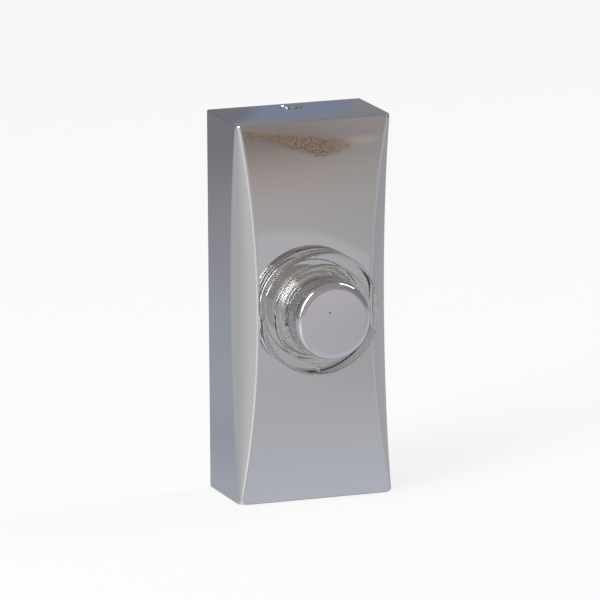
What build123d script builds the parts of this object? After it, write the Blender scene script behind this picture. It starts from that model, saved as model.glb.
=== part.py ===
from build123d import *
import math
import os

# Wired doorbell push: a waisted chromed cover, a clear stepped collar and a round button on a sprung plunger.
# Sizes are in millimetres. Each piece is built in the bench frame, in which the push lies on its back:
# x runs across, y runs up the wall and z runs out from the wall. They are stood up when they are written.

# Cover
HEIGHT = 80.0
WIDTH = 33.75
DEPTH = 18.0
WALL = 1.6
WAIST_LAND = 2.55  # flat front left beside the collar's hole at the waist
SIDE_CUT = 4.2  # how far the waist is set back on each side
END_CUT = 0.4  # depth of the scallop where it meets the two ends
EDGE_R = 0.6

# Button cap
CAP_R = 8.15
CAP_HEIGHT = 11.9  # button face above the front
CAP_WALL = 1.1
CAP_FACE_T = 1.4
CAP_EDGE_R = 1.3
LIP = 0.6  # how far the lip stands out from the cap's side
LIP_T = 1.2
TRAVEL = 2.2

# Clear collar
CAP_GAP = 0.3  # radial clearance between the cap and the collar's bore
LIP_GAP = 0.2  # radial clearance round the cap's lip
NECK_WALL = 0.75
COLLAR_LAND = 3.3  # how far the collar's rim reaches past its neck, above and below
COLLAR_HEIGHT = 4.0  # rim above the front
COLLAR_EDGE_R = 0.7
STEP_WALL = 1.95  # width of the raised inner step
STEP_HEIGHT = 1.2  # inner step above the rim
STEP_CHAMFER = 0.3
SHOULDER = 0.6  # stop for the cap's lip, above the front
NECK_SPARE = 0.8  # neck left below the lip of a pressed button
NECK_FIT = 0.1  # radial clearance of the neck and the pegs in the cover
PEG_R = 0.5
PEG_INSET = 0.9  # from the rim's edge to a locating peg's axis
PEG_SHORT = 0.4  # how far a peg ends before the cover's inner face

# Spring steel plate that holds the collar
RETAINER_T = 0.5
RETAINER_LAND = 2.8
RETAINER_CLEARANCE = 0.3
RETAINER_FIT = 0.05
FINGER_SLOT_W = 1.0
FINGER_SLOT_DEPTH = 0.7
FINGER_SLOTS = 6

# Base plate
PLATE_T = 2.4
PLATE_FIT = 0.25
PLATE_CORNER_R = 0.8
WALL_SCREW_INSET = 8.65  # from the plate's end to a wall screw's centre
WALL_SCREW_HOLE_R = 2.1
WALL_SCREW_PAD = 1.9
WALL_SCREW_PAD_T = 0.8
CABLE_R = 3.0
CABLE_LAND = 0.4
LUG_W = 10.0
LUG_T = 4.3
LUG_COVER = 2.0
TONGUE_W = 15.0
TONGUE_REACH = 0.6
TONGUE_T = 1.2
TONGUE_FIT = 0.2

# Cover screw
COVER_SCREW_OUT = 4.1  # from the wall to the screw's axis
COVER_SCREW_R = 1.45
COVER_SCREW_HEAD_R = 2.5
COVER_SCREW_LENGTH = 5.2
COVER_SCREW_SINK = 0.15
SCREW_FIT = 0.05

# Contacts and terminals
STRIP_T = 0.4
STRIP_W = 5.0
STRIP_END = 2.6  # strip left below a terminal screw's axis
LEAF_W = 4.4
LEAF_BEND_R = 0.7
LEAF_RISER_OUT = 1.25  # how far the leaf's riser stands outside its strip
LEAF_END = 1.7  # leaf left beyond the contact tip's axis
TIP_R = 1.2
TIP_T = 0.8
TIP_GAP = 0.05  # left between the tips when the button is pressed
TIP_FROM_STEM = 0.8
TIP_LAND = 0.8  # fixed strip left beyond its tip
TERMINAL_X = 9.5
TERMINAL_DROP = 1.2  # terminals below the cable entry's centre
TERMINAL_SCREW_R = 1.4
TERMINAL_HEAD_R = 2.6
TERMINAL_HEAD_T = 1.6
CLAMP_W = 6.0
CLAMP_T = 0.8
CLAMP_CORNER_R = 0.8

# Plunger, spring and bridge
STEM_R = 2.2
STEM_CHAMFER = 0.7
STEM_FIT = 0.08
STEM_GAP = 0.05  # between the stem's end and the contact leaf
STOP_GAP = 0.05
HEAD_T = 2.6
HEAD_FIT = 0.02
GUIDE_WALL = 1.2
GUIDE_HEIGHT = 3.2
SPRING_WIRE_R = 0.35
SPRING_WIRE_SIDES = 6
SPRING_ROOM = 0.75  # between the guide and the spring's wire
SPRING_TURNS = 5
SPRING_SEAT = 0.02
BRIDGE_W = 14.8
BRIDGE_T = 1.4
LEG_W = 8.0
LEG_H = 5.8
LEG_Y = 15.4  # from the button's axis to a leg's centre

# Lamp board
LED_GAP = 0.4  # below the neck's end
LED_HEIGHT = 1.6
LED_BASE = 0.7
LED_WIDTH = 2.6
LED_LENGTH = 2.0
LED_DOME_R = 0.85
LED_DOME_CHAMFER = 0.42
BOARD_T = 1.0
BOARD_END = 2.6  # board left beyond a bridge screw's axis
BOARD_CORNER_R = 1.5
BOARD_SPRING_ROOM = 0.6
RESISTOR_R = 0.75
RESISTOR_LENGTH = 3.6
RESISTOR_LIFT = 0.2
LEAD_R = 0.25
LEAD_REACH = 0.9
PIN_R = 0.4
PIN_ROOM = 0.6  # between the bridge's side and a pin
PIN_INSET = 0.9  # from the board's edge to a pin's axis
PIN_DROP = 9.0
PIN_STAND = 0.5
PIN_FIT = 0.05
BRIDGE_SCREW_R = 0.95
BRIDGE_HEAD_R = 1.9
BRIDGE_HEAD_T = 1.2
BLIND_LEFT = 0.5  # plate left under a blind hole
SCREW_END_GAP = 0.1
HEAD_CHAMFER = 0.45
SLOT_W = 0.6
SLOT_DEPTH = 0.6
OVERCUT = 1.0  # how far a cutter runs past the face it opens

# Levels out from the wall
FRONT_INSIDE = DEPTH - WALL
COLLAR_RIM = DEPTH + COLLAR_HEIGHT
COLLAR_TOP = COLLAR_RIM + STEP_HEIGHT
CAP_TOP = DEPTH + CAP_HEIGHT
LIP_TOP = DEPTH + SHOULDER
LIP_BOTTOM = LIP_TOP - LIP_T
NECK_END = LIP_BOTTOM - TRAVEL - NECK_SPARE
STRIP_TOP = PLATE_T + STRIP_T
FIXED_TIP_TOP = STRIP_TOP + TIP_T
MOVING_TIP_BOTTOM = FIXED_TIP_TOP + TRAVEL + TIP_GAP
LEAF_BOTTOM = MOVING_TIP_BOTTOM + TIP_T
LEAF_TOP = LEAF_BOTTOM + STRIP_T
STEM_END = LEAF_TOP + STEM_GAP
BOARD_TOP = NECK_END - LED_GAP - LED_HEIGHT
BRIDGE_TOP = BOARD_TOP - BOARD_T
BRIDGE_BOTTOM = BRIDGE_TOP - BRIDGE_T
GUIDE_TOP = BRIDGE_TOP + GUIDE_HEIGHT
STOP_LEVEL = GUIDE_TOP + TRAVEL + STOP_GAP
HEAD_TOP = CAP_TOP - CAP_FACE_T
HEAD_BOTTOM = HEAD_TOP - HEAD_T

# Radii that follow from the cap and the stem
BORE_R = CAP_R + CAP_GAP
LIP_R = CAP_R + LIP
COUNTERBORE_R = LIP_R + LIP_GAP
NECK_R = COUNTERBORE_R + NECK_WALL
HOLE_R = NECK_R + NECK_FIT
COLLAR_R = NECK_R + COLLAR_LAND
STEP_R = BORE_R + STEP_WALL
CAP_INNER_R = CAP_R - CAP_WALL
GUIDE_BORE_R = STEM_R + STEM_FIT
GUIDE_R = GUIDE_BORE_R + GUIDE_WALL
SPRING_R = GUIDE_R + SPRING_ROOM + SPRING_WIRE_R

# Waist of the cover
WAIST_HALF = HOLE_R + WAIST_LAND
FRONT_CUT = WIDTH / 2 - WAIST_HALF
SLANT = math.hypot(FRONT_CUT, SIDE_CUT)
SCALLOP_DEPTH = FRONT_CUT * SIDE_CUT / SLANT
SCALLOP_RISE = SCALLOP_DEPTH - END_CUT
SCALLOP_R = (HEIGHT**2 / 4 + SCALLOP_RISE**2) / (2 * SCALLOP_RISE)

# Places on the base plate
PLATE_W = WIDTH - 2 * (WALL + PLATE_FIT)
PLATE_H = HEIGHT - 2 * (WALL + PLATE_FIT)
WALL_SCREW_Y = PLATE_H / 2 - WALL_SCREW_INSET
CABLE_Y = -(LEG_Y + LEG_H / 2 + CABLE_LAND + CABLE_R)
TERMINAL_Y = CABLE_Y - TERMINAL_DROP
TIP_X = STEM_R + TIP_FROM_STEM + TIP_R
LED_Y = (COUNTERBORE_R + NECK_R) / 2
BOARD_HOLE_R = SPRING_R + SPRING_WIRE_R + BOARD_SPRING_ROOM
PIN_X = BRIDGE_W / 2 + PIN_ROOM + PIN_R
BOARD_W = 2 * (PIN_X + PIN_INSET)
RESISTOR_X = (BOARD_HOLE_R + BOARD_W / 2) / 2


def disc(radius, bottom, top, x=0.0, y=0.0):
    """Upright cylinder between two levels."""
    return Pos(x, y, bottom) * extrude(Circle(radius), top - bottom)


def through_hole(radius, bottom, top, x=0.0, y=0.0):
    """Cutter for a round hole right through the wall between two levels."""
    return disc(radius, bottom - OVERCUT, top + OVERCUT, x, y)


def blind_hole(radius, bottom, top, x=0.0, y=0.0):
    """Cutter for a round hole that is open at its top level only."""
    return disc(radius, bottom, top + OVERCUT, x, y)


def slab(width, height, bottom, top, x=0.0, y=0.0, corner=0.0):
    """Rectangular plate between two levels, with rounded corners if a radius is given."""
    outline = RectangleRounded(width, height, corner) if corner else Rectangle(width, height)
    return Pos(x, y, bottom) * extrude(outline, top - bottom)


def turned(*corners):
    """Solid of revolution about z; each corner is a radius, a level and the rounding there."""
    points = [(radius, level) for radius, level, _ in corners]
    rounds = [rounding for _, _, rounding in corners]
    outline = make_face(FilletPolyline(*points, radius=rounds, close=True))
    return revolve(Plane.XZ * outline, Axis.Z)


def pan_screw(shank_r, head_r, head_t, seat, end):
    """Slotted pan head screw, its head on the seat level and its shank down to the end level."""
    head_top = seat + head_t
    body = turned(
        (0, end, 0),
        (shank_r, end, 0),
        (shank_r, seat, 0),
        (head_r, seat, 0),
        (head_r, head_top - HEAD_CHAMFER, 0),
        (head_r - HEAD_CHAMFER, head_top, 0),
        (0, head_top, 0),
    )
    return body - slab(2 * (head_r + OVERCUT), SLOT_W, head_top - SLOT_DEPTH, head_top + OVERCUT)


def scallop(side, growth):
    """Large cylinder that cuts one front corner; its rulings run from the front to the side."""
    out_x = side * SIDE_CUT / SLANT
    out_z = FRONT_CUT / SLANT
    reach = SCALLOP_R - SCALLOP_DEPTH
    centre = (side * WIDTH / 2 + out_x * reach, 0, DEPTH + out_z * reach)
    ruling = (side * FRONT_CUT / SLANT, 0, -SIDE_CUT / SLANT)
    drum = Cylinder(SCALLOP_R + growth, 2 * (WIDTH + DEPTH))
    return Plane(origin=centre, x_dir=(0, 1, 0), z_dir=ruling) * drum


def cover_form(inset):
    """Waisted block of the cover, or of its cavity when it is inset by the wall."""
    block = slab(WIDTH - 2 * inset, HEIGHT - 2 * inset, 0, DEPTH - inset)
    return block - scallop(-1, inset) - scallop(1, inset)


def cavity_half_width(level):
    """Half the width of the cavity at the waist, at a level between the side's set-back and the front."""
    along_x = SIDE_CUT / SLANT
    along_z = FRONT_CUT / SLANT
    reach = along_x * WIDTH / 2 + along_z * DEPTH - SCALLOP_DEPTH - WALL
    return (reach - along_z * level) / along_x


def peg_pair(radius, bottom, top):
    """Two round pegs under the top and bottom of the collar's rim, or cutters for their holes."""
    reach = COLLAR_R - PEG_INSET
    return disc(radius, bottom, top, y=reach) + disc(radius, bottom, top, y=-reach)


def at_cover_screw(piece):
    """Stands a piece turned about z on the cover screw's axis, with its zero level on the top face."""
    return Pos(0, HEIGHT / 2, COVER_SCREW_OUT) * Rot(-90, 0, 0) * piece


def countersink():
    """Cut for the cover screw, with the outer face of the wall at zero and the screw pointing down."""
    hole_r = COVER_SCREW_R + SCREW_FIT
    mouth_r = COVER_SCREW_HEAD_R + COVER_SCREW_SINK + SCREW_FIT
    return turned(
        (0, OVERCUT, 0),
        (mouth_r, OVERCUT, 0),
        (mouth_r, 0, 0),
        (hole_r, hole_r - mouth_r, 0),
        (hole_r, -WALL - OVERCUT, 0),
        (0, -WALL - OVERCUT, 0),
    )


def make_front_cover():
    form = cover_form(0)
    rims = [edge for edge in form.edges() if edge.center().Z > WALL]
    shell = fillet(rims, EDGE_R) - cover_form(WALL)
    shell -= through_hole(HOLE_R, FRONT_INSIDE, DEPTH)
    shell -= peg_pair(PEG_R + NECK_FIT, FRONT_INSIDE - OVERCUT, DEPTH + OVERCUT)
    shell -= at_cover_screw(countersink())
    pocket_h = TONGUE_REACH + TONGUE_FIT + OVERCUT
    pocket_y = pocket_h / 2 - TONGUE_REACH - TONGUE_FIT - (HEIGHT / 2 - WALL)
    pocket_bottom = PLATE_T - TONGUE_T - TONGUE_FIT
    shell -= slab(TONGUE_W + 2 * TONGUE_FIT, pocket_h, pocket_bottom, PLATE_T + TONGUE_FIT, y=pocket_y)
    return shell


def make_lens_collar():
    body = turned(
        (COUNTERBORE_R, NECK_END, 0),
        (NECK_R, NECK_END, 0),
        (NECK_R, DEPTH, 0),
        (COLLAR_R, DEPTH, 0),
        (COLLAR_R, COLLAR_RIM, COLLAR_EDGE_R),
        (STEP_R, COLLAR_RIM, 0),
        (STEP_R, COLLAR_TOP - STEP_CHAMFER, 0),
        (STEP_R - STEP_CHAMFER, COLLAR_TOP, 0),
        (BORE_R, COLLAR_TOP, 0),
        (BORE_R, LIP_TOP, 0),
        (COUNTERBORE_R, LIP_TOP, 0),
    )
    # The rim is cut flat on both sides, flush with the cover's waist
    body &= slab(2 * WAIST_HALF, 2 * (COLLAR_R + OVERCUT), NECK_END - OVERCUT, COLLAR_TOP + OVERCUT)
    return body + peg_pair(PEG_R, FRONT_INSIDE + PEG_SHORT, DEPTH + COLLAR_HEIGHT / 2)


def make_collar_retainer():
    bottom = FRONT_INSIDE - RETAINER_T
    flat = 2 * (cavity_half_width(FRONT_INSIDE) - RETAINER_CLEARANCE)
    outer_r = NECK_R + RETAINER_LAND
    plate = disc(outer_r, bottom, FRONT_INSIDE) & slab(flat, 2 * outer_r, bottom, FRONT_INSIDE)
    plate -= through_hole(NECK_R + RETAINER_FIT, bottom, FRONT_INSIDE)
    reach = NECK_R + RETAINER_FIT + FINGER_SLOT_DEPTH
    for turn in range(FINGER_SLOTS):
        slot = slab(reach, FINGER_SLOT_W, bottom - OVERCUT, FRONT_INSIDE + OVERCUT, x=reach / 2)
        plate -= Rot(0, 0, 90 + turn * 360 / FINGER_SLOTS) * slot
    return plate


def make_button_cap():
    return turned(
        (CAP_INNER_R, LIP_BOTTOM, 0),
        (LIP_R, LIP_BOTTOM, 0),
        (LIP_R, LIP_TOP, 0),
        (CAP_R, LIP_TOP, 0),
        (CAP_R, CAP_TOP, CAP_EDGE_R),
        (0, CAP_TOP, 0),
        (0, HEAD_TOP, 0),
        (CAP_INNER_R, HEAD_TOP, 0),
    )


def make_plunger():
    head_r = CAP_INNER_R - HEAD_FIT
    return turned(
        (0, STEM_END, 0),
        (STEM_R - STEM_CHAMFER, STEM_END, 0),
        (STEM_R, STEM_END + STEM_CHAMFER, 0),
        (STEM_R, STOP_LEVEL, 0),
        (GUIDE_R, STOP_LEVEL, 0),
        (GUIDE_R, HEAD_BOTTOM, 0),
        (head_r, HEAD_BOTTOM, 0),
        (head_r, HEAD_TOP, 0),
        (0, HEAD_TOP, 0),
    )


def make_return_spring():
    rise = HEAD_BOTTOM - BRIDGE_TOP - 2 * (SPRING_WIRE_R + SPRING_SEAT)
    path = Helix(rise / SPRING_TURNS, rise, SPRING_R)
    start = Plane(origin=path @ 0, z_dir=path % 0)
    coil = sweep(start * RegularPolygon(SPRING_WIRE_R, SPRING_WIRE_SIDES), path, is_frenet=True)
    return Pos(0, 0, BRIDGE_TOP + SPRING_WIRE_R + SPRING_SEAT) * coil


def make_switch_bridge():
    span = 2 * LEG_Y + LEG_H
    body = slab(BRIDGE_W, span, BRIDGE_BOTTOM, BRIDGE_TOP, corner=BOARD_CORNER_R)
    body += disc(GUIDE_R, BRIDGE_BOTTOM, GUIDE_TOP)
    for side in (-1, 1):
        body += slab(LEG_W, LEG_H, PLATE_T, BRIDGE_BOTTOM, y=side * LEG_Y)
        body -= through_hole(BRIDGE_SCREW_R + SCREW_FIT, PLATE_T, BRIDGE_TOP, y=side * LEG_Y)
    return body - through_hole(GUIDE_BORE_R, BRIDGE_BOTTOM, GUIDE_TOP)


def make_base_plate():
    top = PLATE_H / 2
    plate = slab(PLATE_W, PLATE_H, 0, PLATE_T, corner=PLATE_CORNER_R)
    tongue_h = TONGUE_REACH + WALL
    tongue_y = tongue_h / 2 - TONGUE_REACH - (HEIGHT / 2 - WALL)
    plate += slab(TONGUE_W, tongue_h, PLATE_T - TONGUE_T, PLATE_T, y=tongue_y)
    lug_top = COVER_SCREW_OUT + COVER_SCREW_R + LUG_COVER
    plate += slab(LUG_W, LUG_T, 0, lug_top, y=top - LUG_T / 2)
    lug_inner = -(HEIGHT / 2 - top) - LUG_T
    plate -= at_cover_screw(disc(COVER_SCREW_R + SCREW_FIT, lug_inner - OVERCUT, 0))
    pad_top = PLATE_T + WALL_SCREW_PAD_T
    for side in (-1, 1):
        screw_y = side * WALL_SCREW_Y
        plate += disc(WALL_SCREW_HOLE_R + WALL_SCREW_PAD, PLATE_T, pad_top, y=screw_y)
        plate -= through_hole(WALL_SCREW_HOLE_R, 0, max(pad_top, lug_top), y=screw_y)
        plate -= blind_hole(BRIDGE_SCREW_R + SCREW_FIT, BLIND_LEFT, PLATE_T, y=side * LEG_Y)
        plate -= blind_hole(TERMINAL_SCREW_R + SCREW_FIT, BLIND_LEFT, PLATE_T, side * TERMINAL_X, TERMINAL_Y)
    return plate - through_hole(CABLE_R, 0, PLATE_T, y=CABLE_Y)


def make_strip(side, inner_end):
    """Flat strip from a terminal up to the button's axis, with an arm that ends at the given place."""
    foot_end = TERMINAL_Y - STRIP_END
    leg_h = LEAF_W / 2 - foot_end
    leg = slab(STRIP_W, leg_h, PLATE_T, STRIP_TOP, x=side * TERMINAL_X, y=foot_end + leg_h / 2)
    outer_end = side * (TERMINAL_X + STRIP_W / 2)
    arm = slab(abs(outer_end - inner_end), LEAF_W, PLATE_T, STRIP_TOP, x=(outer_end + inner_end) / 2)
    screw_hole = through_hole(TERMINAL_SCREW_R + SCREW_FIT, PLATE_T, STRIP_TOP, side * TERMINAL_X, TERMINAL_Y)
    return leg + arm - screw_hole


def make_fixed_contact():
    return make_strip(1, TIP_X - TIP_R - TIP_LAND)


def make_moving_contact():
    root = -TERMINAL_X
    back = -(TERMINAL_X + STRIP_W / 2) - LEAF_RISER_OUT
    foot_level = PLATE_T + STRIP_T / 2
    leaf_level = LEAF_TOP - STRIP_T / 2
    bend = FilletPolyline(
        (root, foot_level),
        (back, foot_level),
        (back, leaf_level),
        (TIP_X + LEAF_END, leaf_level),
        radius=LEAF_BEND_R,
    )
    ribbon = Plane.XZ * trace(bend, STRIP_T)
    leaf = extrude(ribbon, LEAF_W / 2, both=True)
    return make_strip(-1, root + STRIP_W / 2) + leaf


def make_lamp_board():
    height = 2 * (LEG_Y + BOARD_END)
    board = slab(BOARD_W, height, BRIDGE_TOP, BOARD_TOP, corner=BOARD_CORNER_R)
    board -= through_hole(BOARD_HOLE_R, BRIDGE_TOP, BOARD_TOP)
    for side in (-1, 1):
        board -= through_hole(BRIDGE_SCREW_R + SCREW_FIT, BRIDGE_TOP, BOARD_TOP, y=side * LEG_Y)
        board -= through_hole(PIN_R + PIN_FIT, BRIDGE_TOP, BOARD_TOP, side * PIN_X, -PIN_DROP)
    return board


def make_led(side):
    base = slab(LED_WIDTH, LED_LENGTH, BOARD_TOP, BOARD_TOP + LED_BASE, y=side * LED_Y)
    top = BOARD_TOP + LED_HEIGHT
    dome = turned(
        (0, BOARD_TOP, 0),
        (LED_DOME_R, BOARD_TOP, 0),
        (LED_DOME_R, top - LED_DOME_CHAMFER, 0),
        (LED_DOME_R - LED_DOME_CHAMFER, top, 0),
        (0, top, 0),
    )
    return base + Pos(0, side * LED_Y, 0) * dome


def make_lamp_resistor():
    level = BOARD_TOP + RESISTOR_LIFT + RESISTOR_R
    body = Rot(-90, 0, 0) * Cylinder(RESISTOR_R, RESISTOR_LENGTH)
    reach = RESISTOR_LENGTH / 2 + LEAD_REACH
    drop = BOARD_TOP - level
    lead = trace(Polyline((-reach, drop), (-reach, 0), (reach, 0), (reach, drop)), 2 * LEAD_R)
    body += extrude(Plane.YZ * lead, LEAD_R, both=True)
    return Pos(-RESISTOR_X, 0, level) * body


def make_lamp_pin(side):
    return disc(PIN_R, STRIP_TOP, BOARD_TOP + PIN_STAND, x=side * PIN_X, y=-PIN_DROP)


def make_terminal_clamp(side):
    top = STRIP_TOP + CLAMP_T
    clamp = slab(CLAMP_W, CLAMP_W, STRIP_TOP, top, corner=CLAMP_CORNER_R)
    clamp -= through_hole(TERMINAL_SCREW_R + SCREW_FIT, STRIP_TOP, top)
    return Pos(side * TERMINAL_X, TERMINAL_Y, 0) * clamp


def make_terminal_screw(side):
    seat = STRIP_TOP + CLAMP_T
    screw = pan_screw(TERMINAL_SCREW_R, TERMINAL_HEAD_R, TERMINAL_HEAD_T, seat, BLIND_LEFT + SCREW_END_GAP)
    return Pos(side * TERMINAL_X, TERMINAL_Y, 0) * screw


def make_bridge_screw(side):
    screw = pan_screw(BRIDGE_SCREW_R, BRIDGE_HEAD_R, BRIDGE_HEAD_T, BOARD_TOP, BLIND_LEFT + SCREW_END_GAP)
    return Pos(0, side * LEG_Y, 0) * screw


def make_cover_screw():
    cone_end = COVER_SCREW_R - COVER_SCREW_HEAD_R - COVER_SCREW_SINK
    screw = turned(
        (0, -COVER_SCREW_SINK, 0),
        (COVER_SCREW_HEAD_R, -COVER_SCREW_SINK, 0),
        (COVER_SCREW_R, cone_end, 0),
        (COVER_SCREW_R, -COVER_SCREW_LENGTH, 0),
        (0, -COVER_SCREW_LENGTH, 0),
    )
    for turn in (0, 90):
        cross = slab(2 * COVER_SCREW_R, SLOT_W, -COVER_SCREW_SINK - SLOT_DEPTH, OVERCUT)
        screw -= Rot(0, 0, turn) * cross
    return at_cover_screw(screw)


pieces = {
    "front_cover": make_front_cover(),
    "lens_collar": make_lens_collar(),
    "collar_retainer": make_collar_retainer(),
    "button_cap": make_button_cap(),
    "plunger": make_plunger(),
    "return_spring": make_return_spring(),
    "switch_bridge": make_switch_bridge(),
    "base_plate": make_base_plate(),
    "fixed_contact": make_fixed_contact(),
    "fixed_tip": disc(TIP_R, STRIP_TOP, FIXED_TIP_TOP, x=TIP_X),
    "moving_contact": make_moving_contact(),
    "moving_tip": disc(TIP_R, MOVING_TIP_BOTTOM, LEAF_BOTTOM, x=TIP_X),
    "lamp_board": make_lamp_board(),
    "led_upper": make_led(1),
    "led_lower": make_led(-1),
    "lamp_resistor": make_lamp_resistor(),
    "cover_screw": make_cover_screw(),
}
for name, side in (("left", -1), ("right", 1)):
    pieces["lamp_pin_" + name] = make_lamp_pin(side)
    pieces["terminal_clamp_" + name] = make_terminal_clamp(side)
    pieces["terminal_screw_" + name] = make_terminal_screw(side)
for name, side in (("lower", -1), ("upper", 1)):
    pieces["bridge_screw_" + name] = make_bridge_screw(side)

# Standing: the bench frame's y becomes up, and its z points to the front, along -y
standing = Plane(origin=(0, 0, 0), x_dir=(1, 0, 0), z_dir=(0, -1, 0))
os.makedirs("parts", exist_ok=True)
for name, piece in pieces.items():
    export_step(standing * piece, "parts/" + name + ".step")
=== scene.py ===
import math

import bmesh
import bpy
from bpy.props import FloatProperty, FloatVectorProperty, IntProperty, PointerProperty
from mathutils import Matrix, Vector


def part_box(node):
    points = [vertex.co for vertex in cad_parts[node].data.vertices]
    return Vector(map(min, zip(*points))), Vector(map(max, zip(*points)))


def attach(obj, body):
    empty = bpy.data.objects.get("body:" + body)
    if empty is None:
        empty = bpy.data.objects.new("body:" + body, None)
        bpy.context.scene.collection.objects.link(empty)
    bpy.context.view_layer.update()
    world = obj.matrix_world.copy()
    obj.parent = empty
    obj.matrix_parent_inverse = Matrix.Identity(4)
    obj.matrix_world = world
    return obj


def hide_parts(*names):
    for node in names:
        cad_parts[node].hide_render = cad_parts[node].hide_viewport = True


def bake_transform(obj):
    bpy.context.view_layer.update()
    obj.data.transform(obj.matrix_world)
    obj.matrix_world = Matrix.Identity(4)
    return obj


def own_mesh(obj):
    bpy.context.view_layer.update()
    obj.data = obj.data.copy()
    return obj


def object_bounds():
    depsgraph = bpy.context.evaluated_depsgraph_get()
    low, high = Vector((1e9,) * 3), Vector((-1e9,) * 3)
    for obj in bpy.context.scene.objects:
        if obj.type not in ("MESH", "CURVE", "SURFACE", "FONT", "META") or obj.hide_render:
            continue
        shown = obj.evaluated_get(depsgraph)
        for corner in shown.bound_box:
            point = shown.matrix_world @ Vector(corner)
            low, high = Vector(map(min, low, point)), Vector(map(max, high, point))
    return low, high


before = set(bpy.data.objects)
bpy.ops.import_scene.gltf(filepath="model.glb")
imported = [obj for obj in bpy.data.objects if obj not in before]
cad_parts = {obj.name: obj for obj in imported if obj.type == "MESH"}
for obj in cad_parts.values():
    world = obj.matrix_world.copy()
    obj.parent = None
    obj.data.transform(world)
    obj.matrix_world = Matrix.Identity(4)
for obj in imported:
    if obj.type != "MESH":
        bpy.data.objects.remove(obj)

bl_info = {
    "name": "Doorbell push",
    "version": (1, 0, 0),
    "blender": (4, 5, 0),
    "location": "View3D > Sidebar > Bell push",
    "description": "Dresses the packed doorbell push: chromed cover and button, clear collar and works",
    "category": "Object",
}

MM = 0.001
MERGE = 1e-7  # points closer than this become one
LEAST = 0.02 * MM  # least that a scallop takes off the cover's front and sides
OUT = math.pi / 2  # turn about X that points a turned form out from the wall
WHITE = (1.0, 1.0, 1.0)
CAD_LOW, CAD_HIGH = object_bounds()
FINISHES = {}  # the finishes made so far, by the names of their slots
Socket = bpy.types.NodeSocket


def levels(name):
    """Lowest and highest level of a CAD node, out from the wall."""
    low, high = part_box(name)
    return -high.y, -low.y


def middle(name):
    """Middle of a CAD node across and up the wall."""
    low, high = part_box(name)
    return (low.x + high.x) / 2, (low.z + high.z) / 2


def span(name):
    """Size of a CAD node across, out from the wall and up it."""
    low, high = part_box(name)
    return high - low


def length(name, description, default):
    """A size in metres that the panel shows."""
    return FloatProperty(name=name, description=description, default=default, unit="LENGTH", precision=5)


def angle(name, description, degrees):
    """An angle that the panel shows."""
    return FloatProperty(name=name, description=description, default=math.radians(degrees), subtype="ANGLE")


def tint(name, description, default):
    """A colour that the panel shows."""
    limits = {"subtype": "COLOR", "min": 0, "max": 1}
    return FloatVectorProperty(name=name, description=description, default=default, **limits)


# Settings


class CoverSettings(bpy.types.PropertyGroup):
    """Sizes and colour of the chromed cover."""

    height: length("Height", "Height of the cover up the wall", span("front_cover").z)
    width: length("Width", "Width of the cover", span("front_cover").x)
    depth: length("Depth", "Front of the cover, out from the wall", span("front_cover").y)
    wall: length("Wall", "Thickness of the cover's walls", 1.6 * MM)
    waist: length("Waist", "Width of the flat front at its narrowest", 24.7 * MM)
    side_cut: length("Side cut", "How far the waist is set back on each side", 4.2 * MM)
    end_cut: length("End cut", "Depth of the scallop where it meets the ends", 0.4 * MM)
    crown: FloatProperty(name="Crown", description="Scallops' rise, a share of their width", default=0.03)
    side_crease: length("Side crease", "Rounding between the sides and the scallops", 1.8 * MM)
    front_crease: length("Front crease", "Rounding between the front and the scallops", 1.2 * MM)
    side_end: length("Side end radius", "Rounding where the sides meet the ends", 0.35 * MM)
    band_end: length("Scallop end radius", "Rounding where the scallops meet the ends", 1.0 * MM)
    foot_end: length("Foot radius", "Rounding where the front meets the bottom", 0.35 * MM)
    roll: length("Roll", "How far the top face rolls over towards the front", 8.0 * MM)
    roll_drop: length("Roll drop", "How far the top face drops in that roll", 0.4 * MM)
    inner: length("Inner radius", "Rounding of the inner corners", 0.4 * MM)
    hole: length("Hole radius", "Hole for the collar's neck", 9.8 * MM)
    peg_hole: length("Peg hole radius", "Holes for the collar's two locating pegs", 0.6 * MM)
    pocket_width: length("Pocket width", "Width of the pocket for the base plate's tongue", 15.4 * MM)
    pocket_depth: length("Pocket depth", "Depth of that pocket in the bottom wall", 0.8 * MM)
    pocket_low: length("Pocket near edge", "Near edge of that pocket, out from the wall", 1.0 * MM)
    pocket_high: length("Pocket far edge", "Far edge of that pocket, out from the wall", 2.6 * MM)
    colour: tint("Chrome", "Colour that the cover's chromium reflects", (0.62, 0.62, 0.63))


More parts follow.
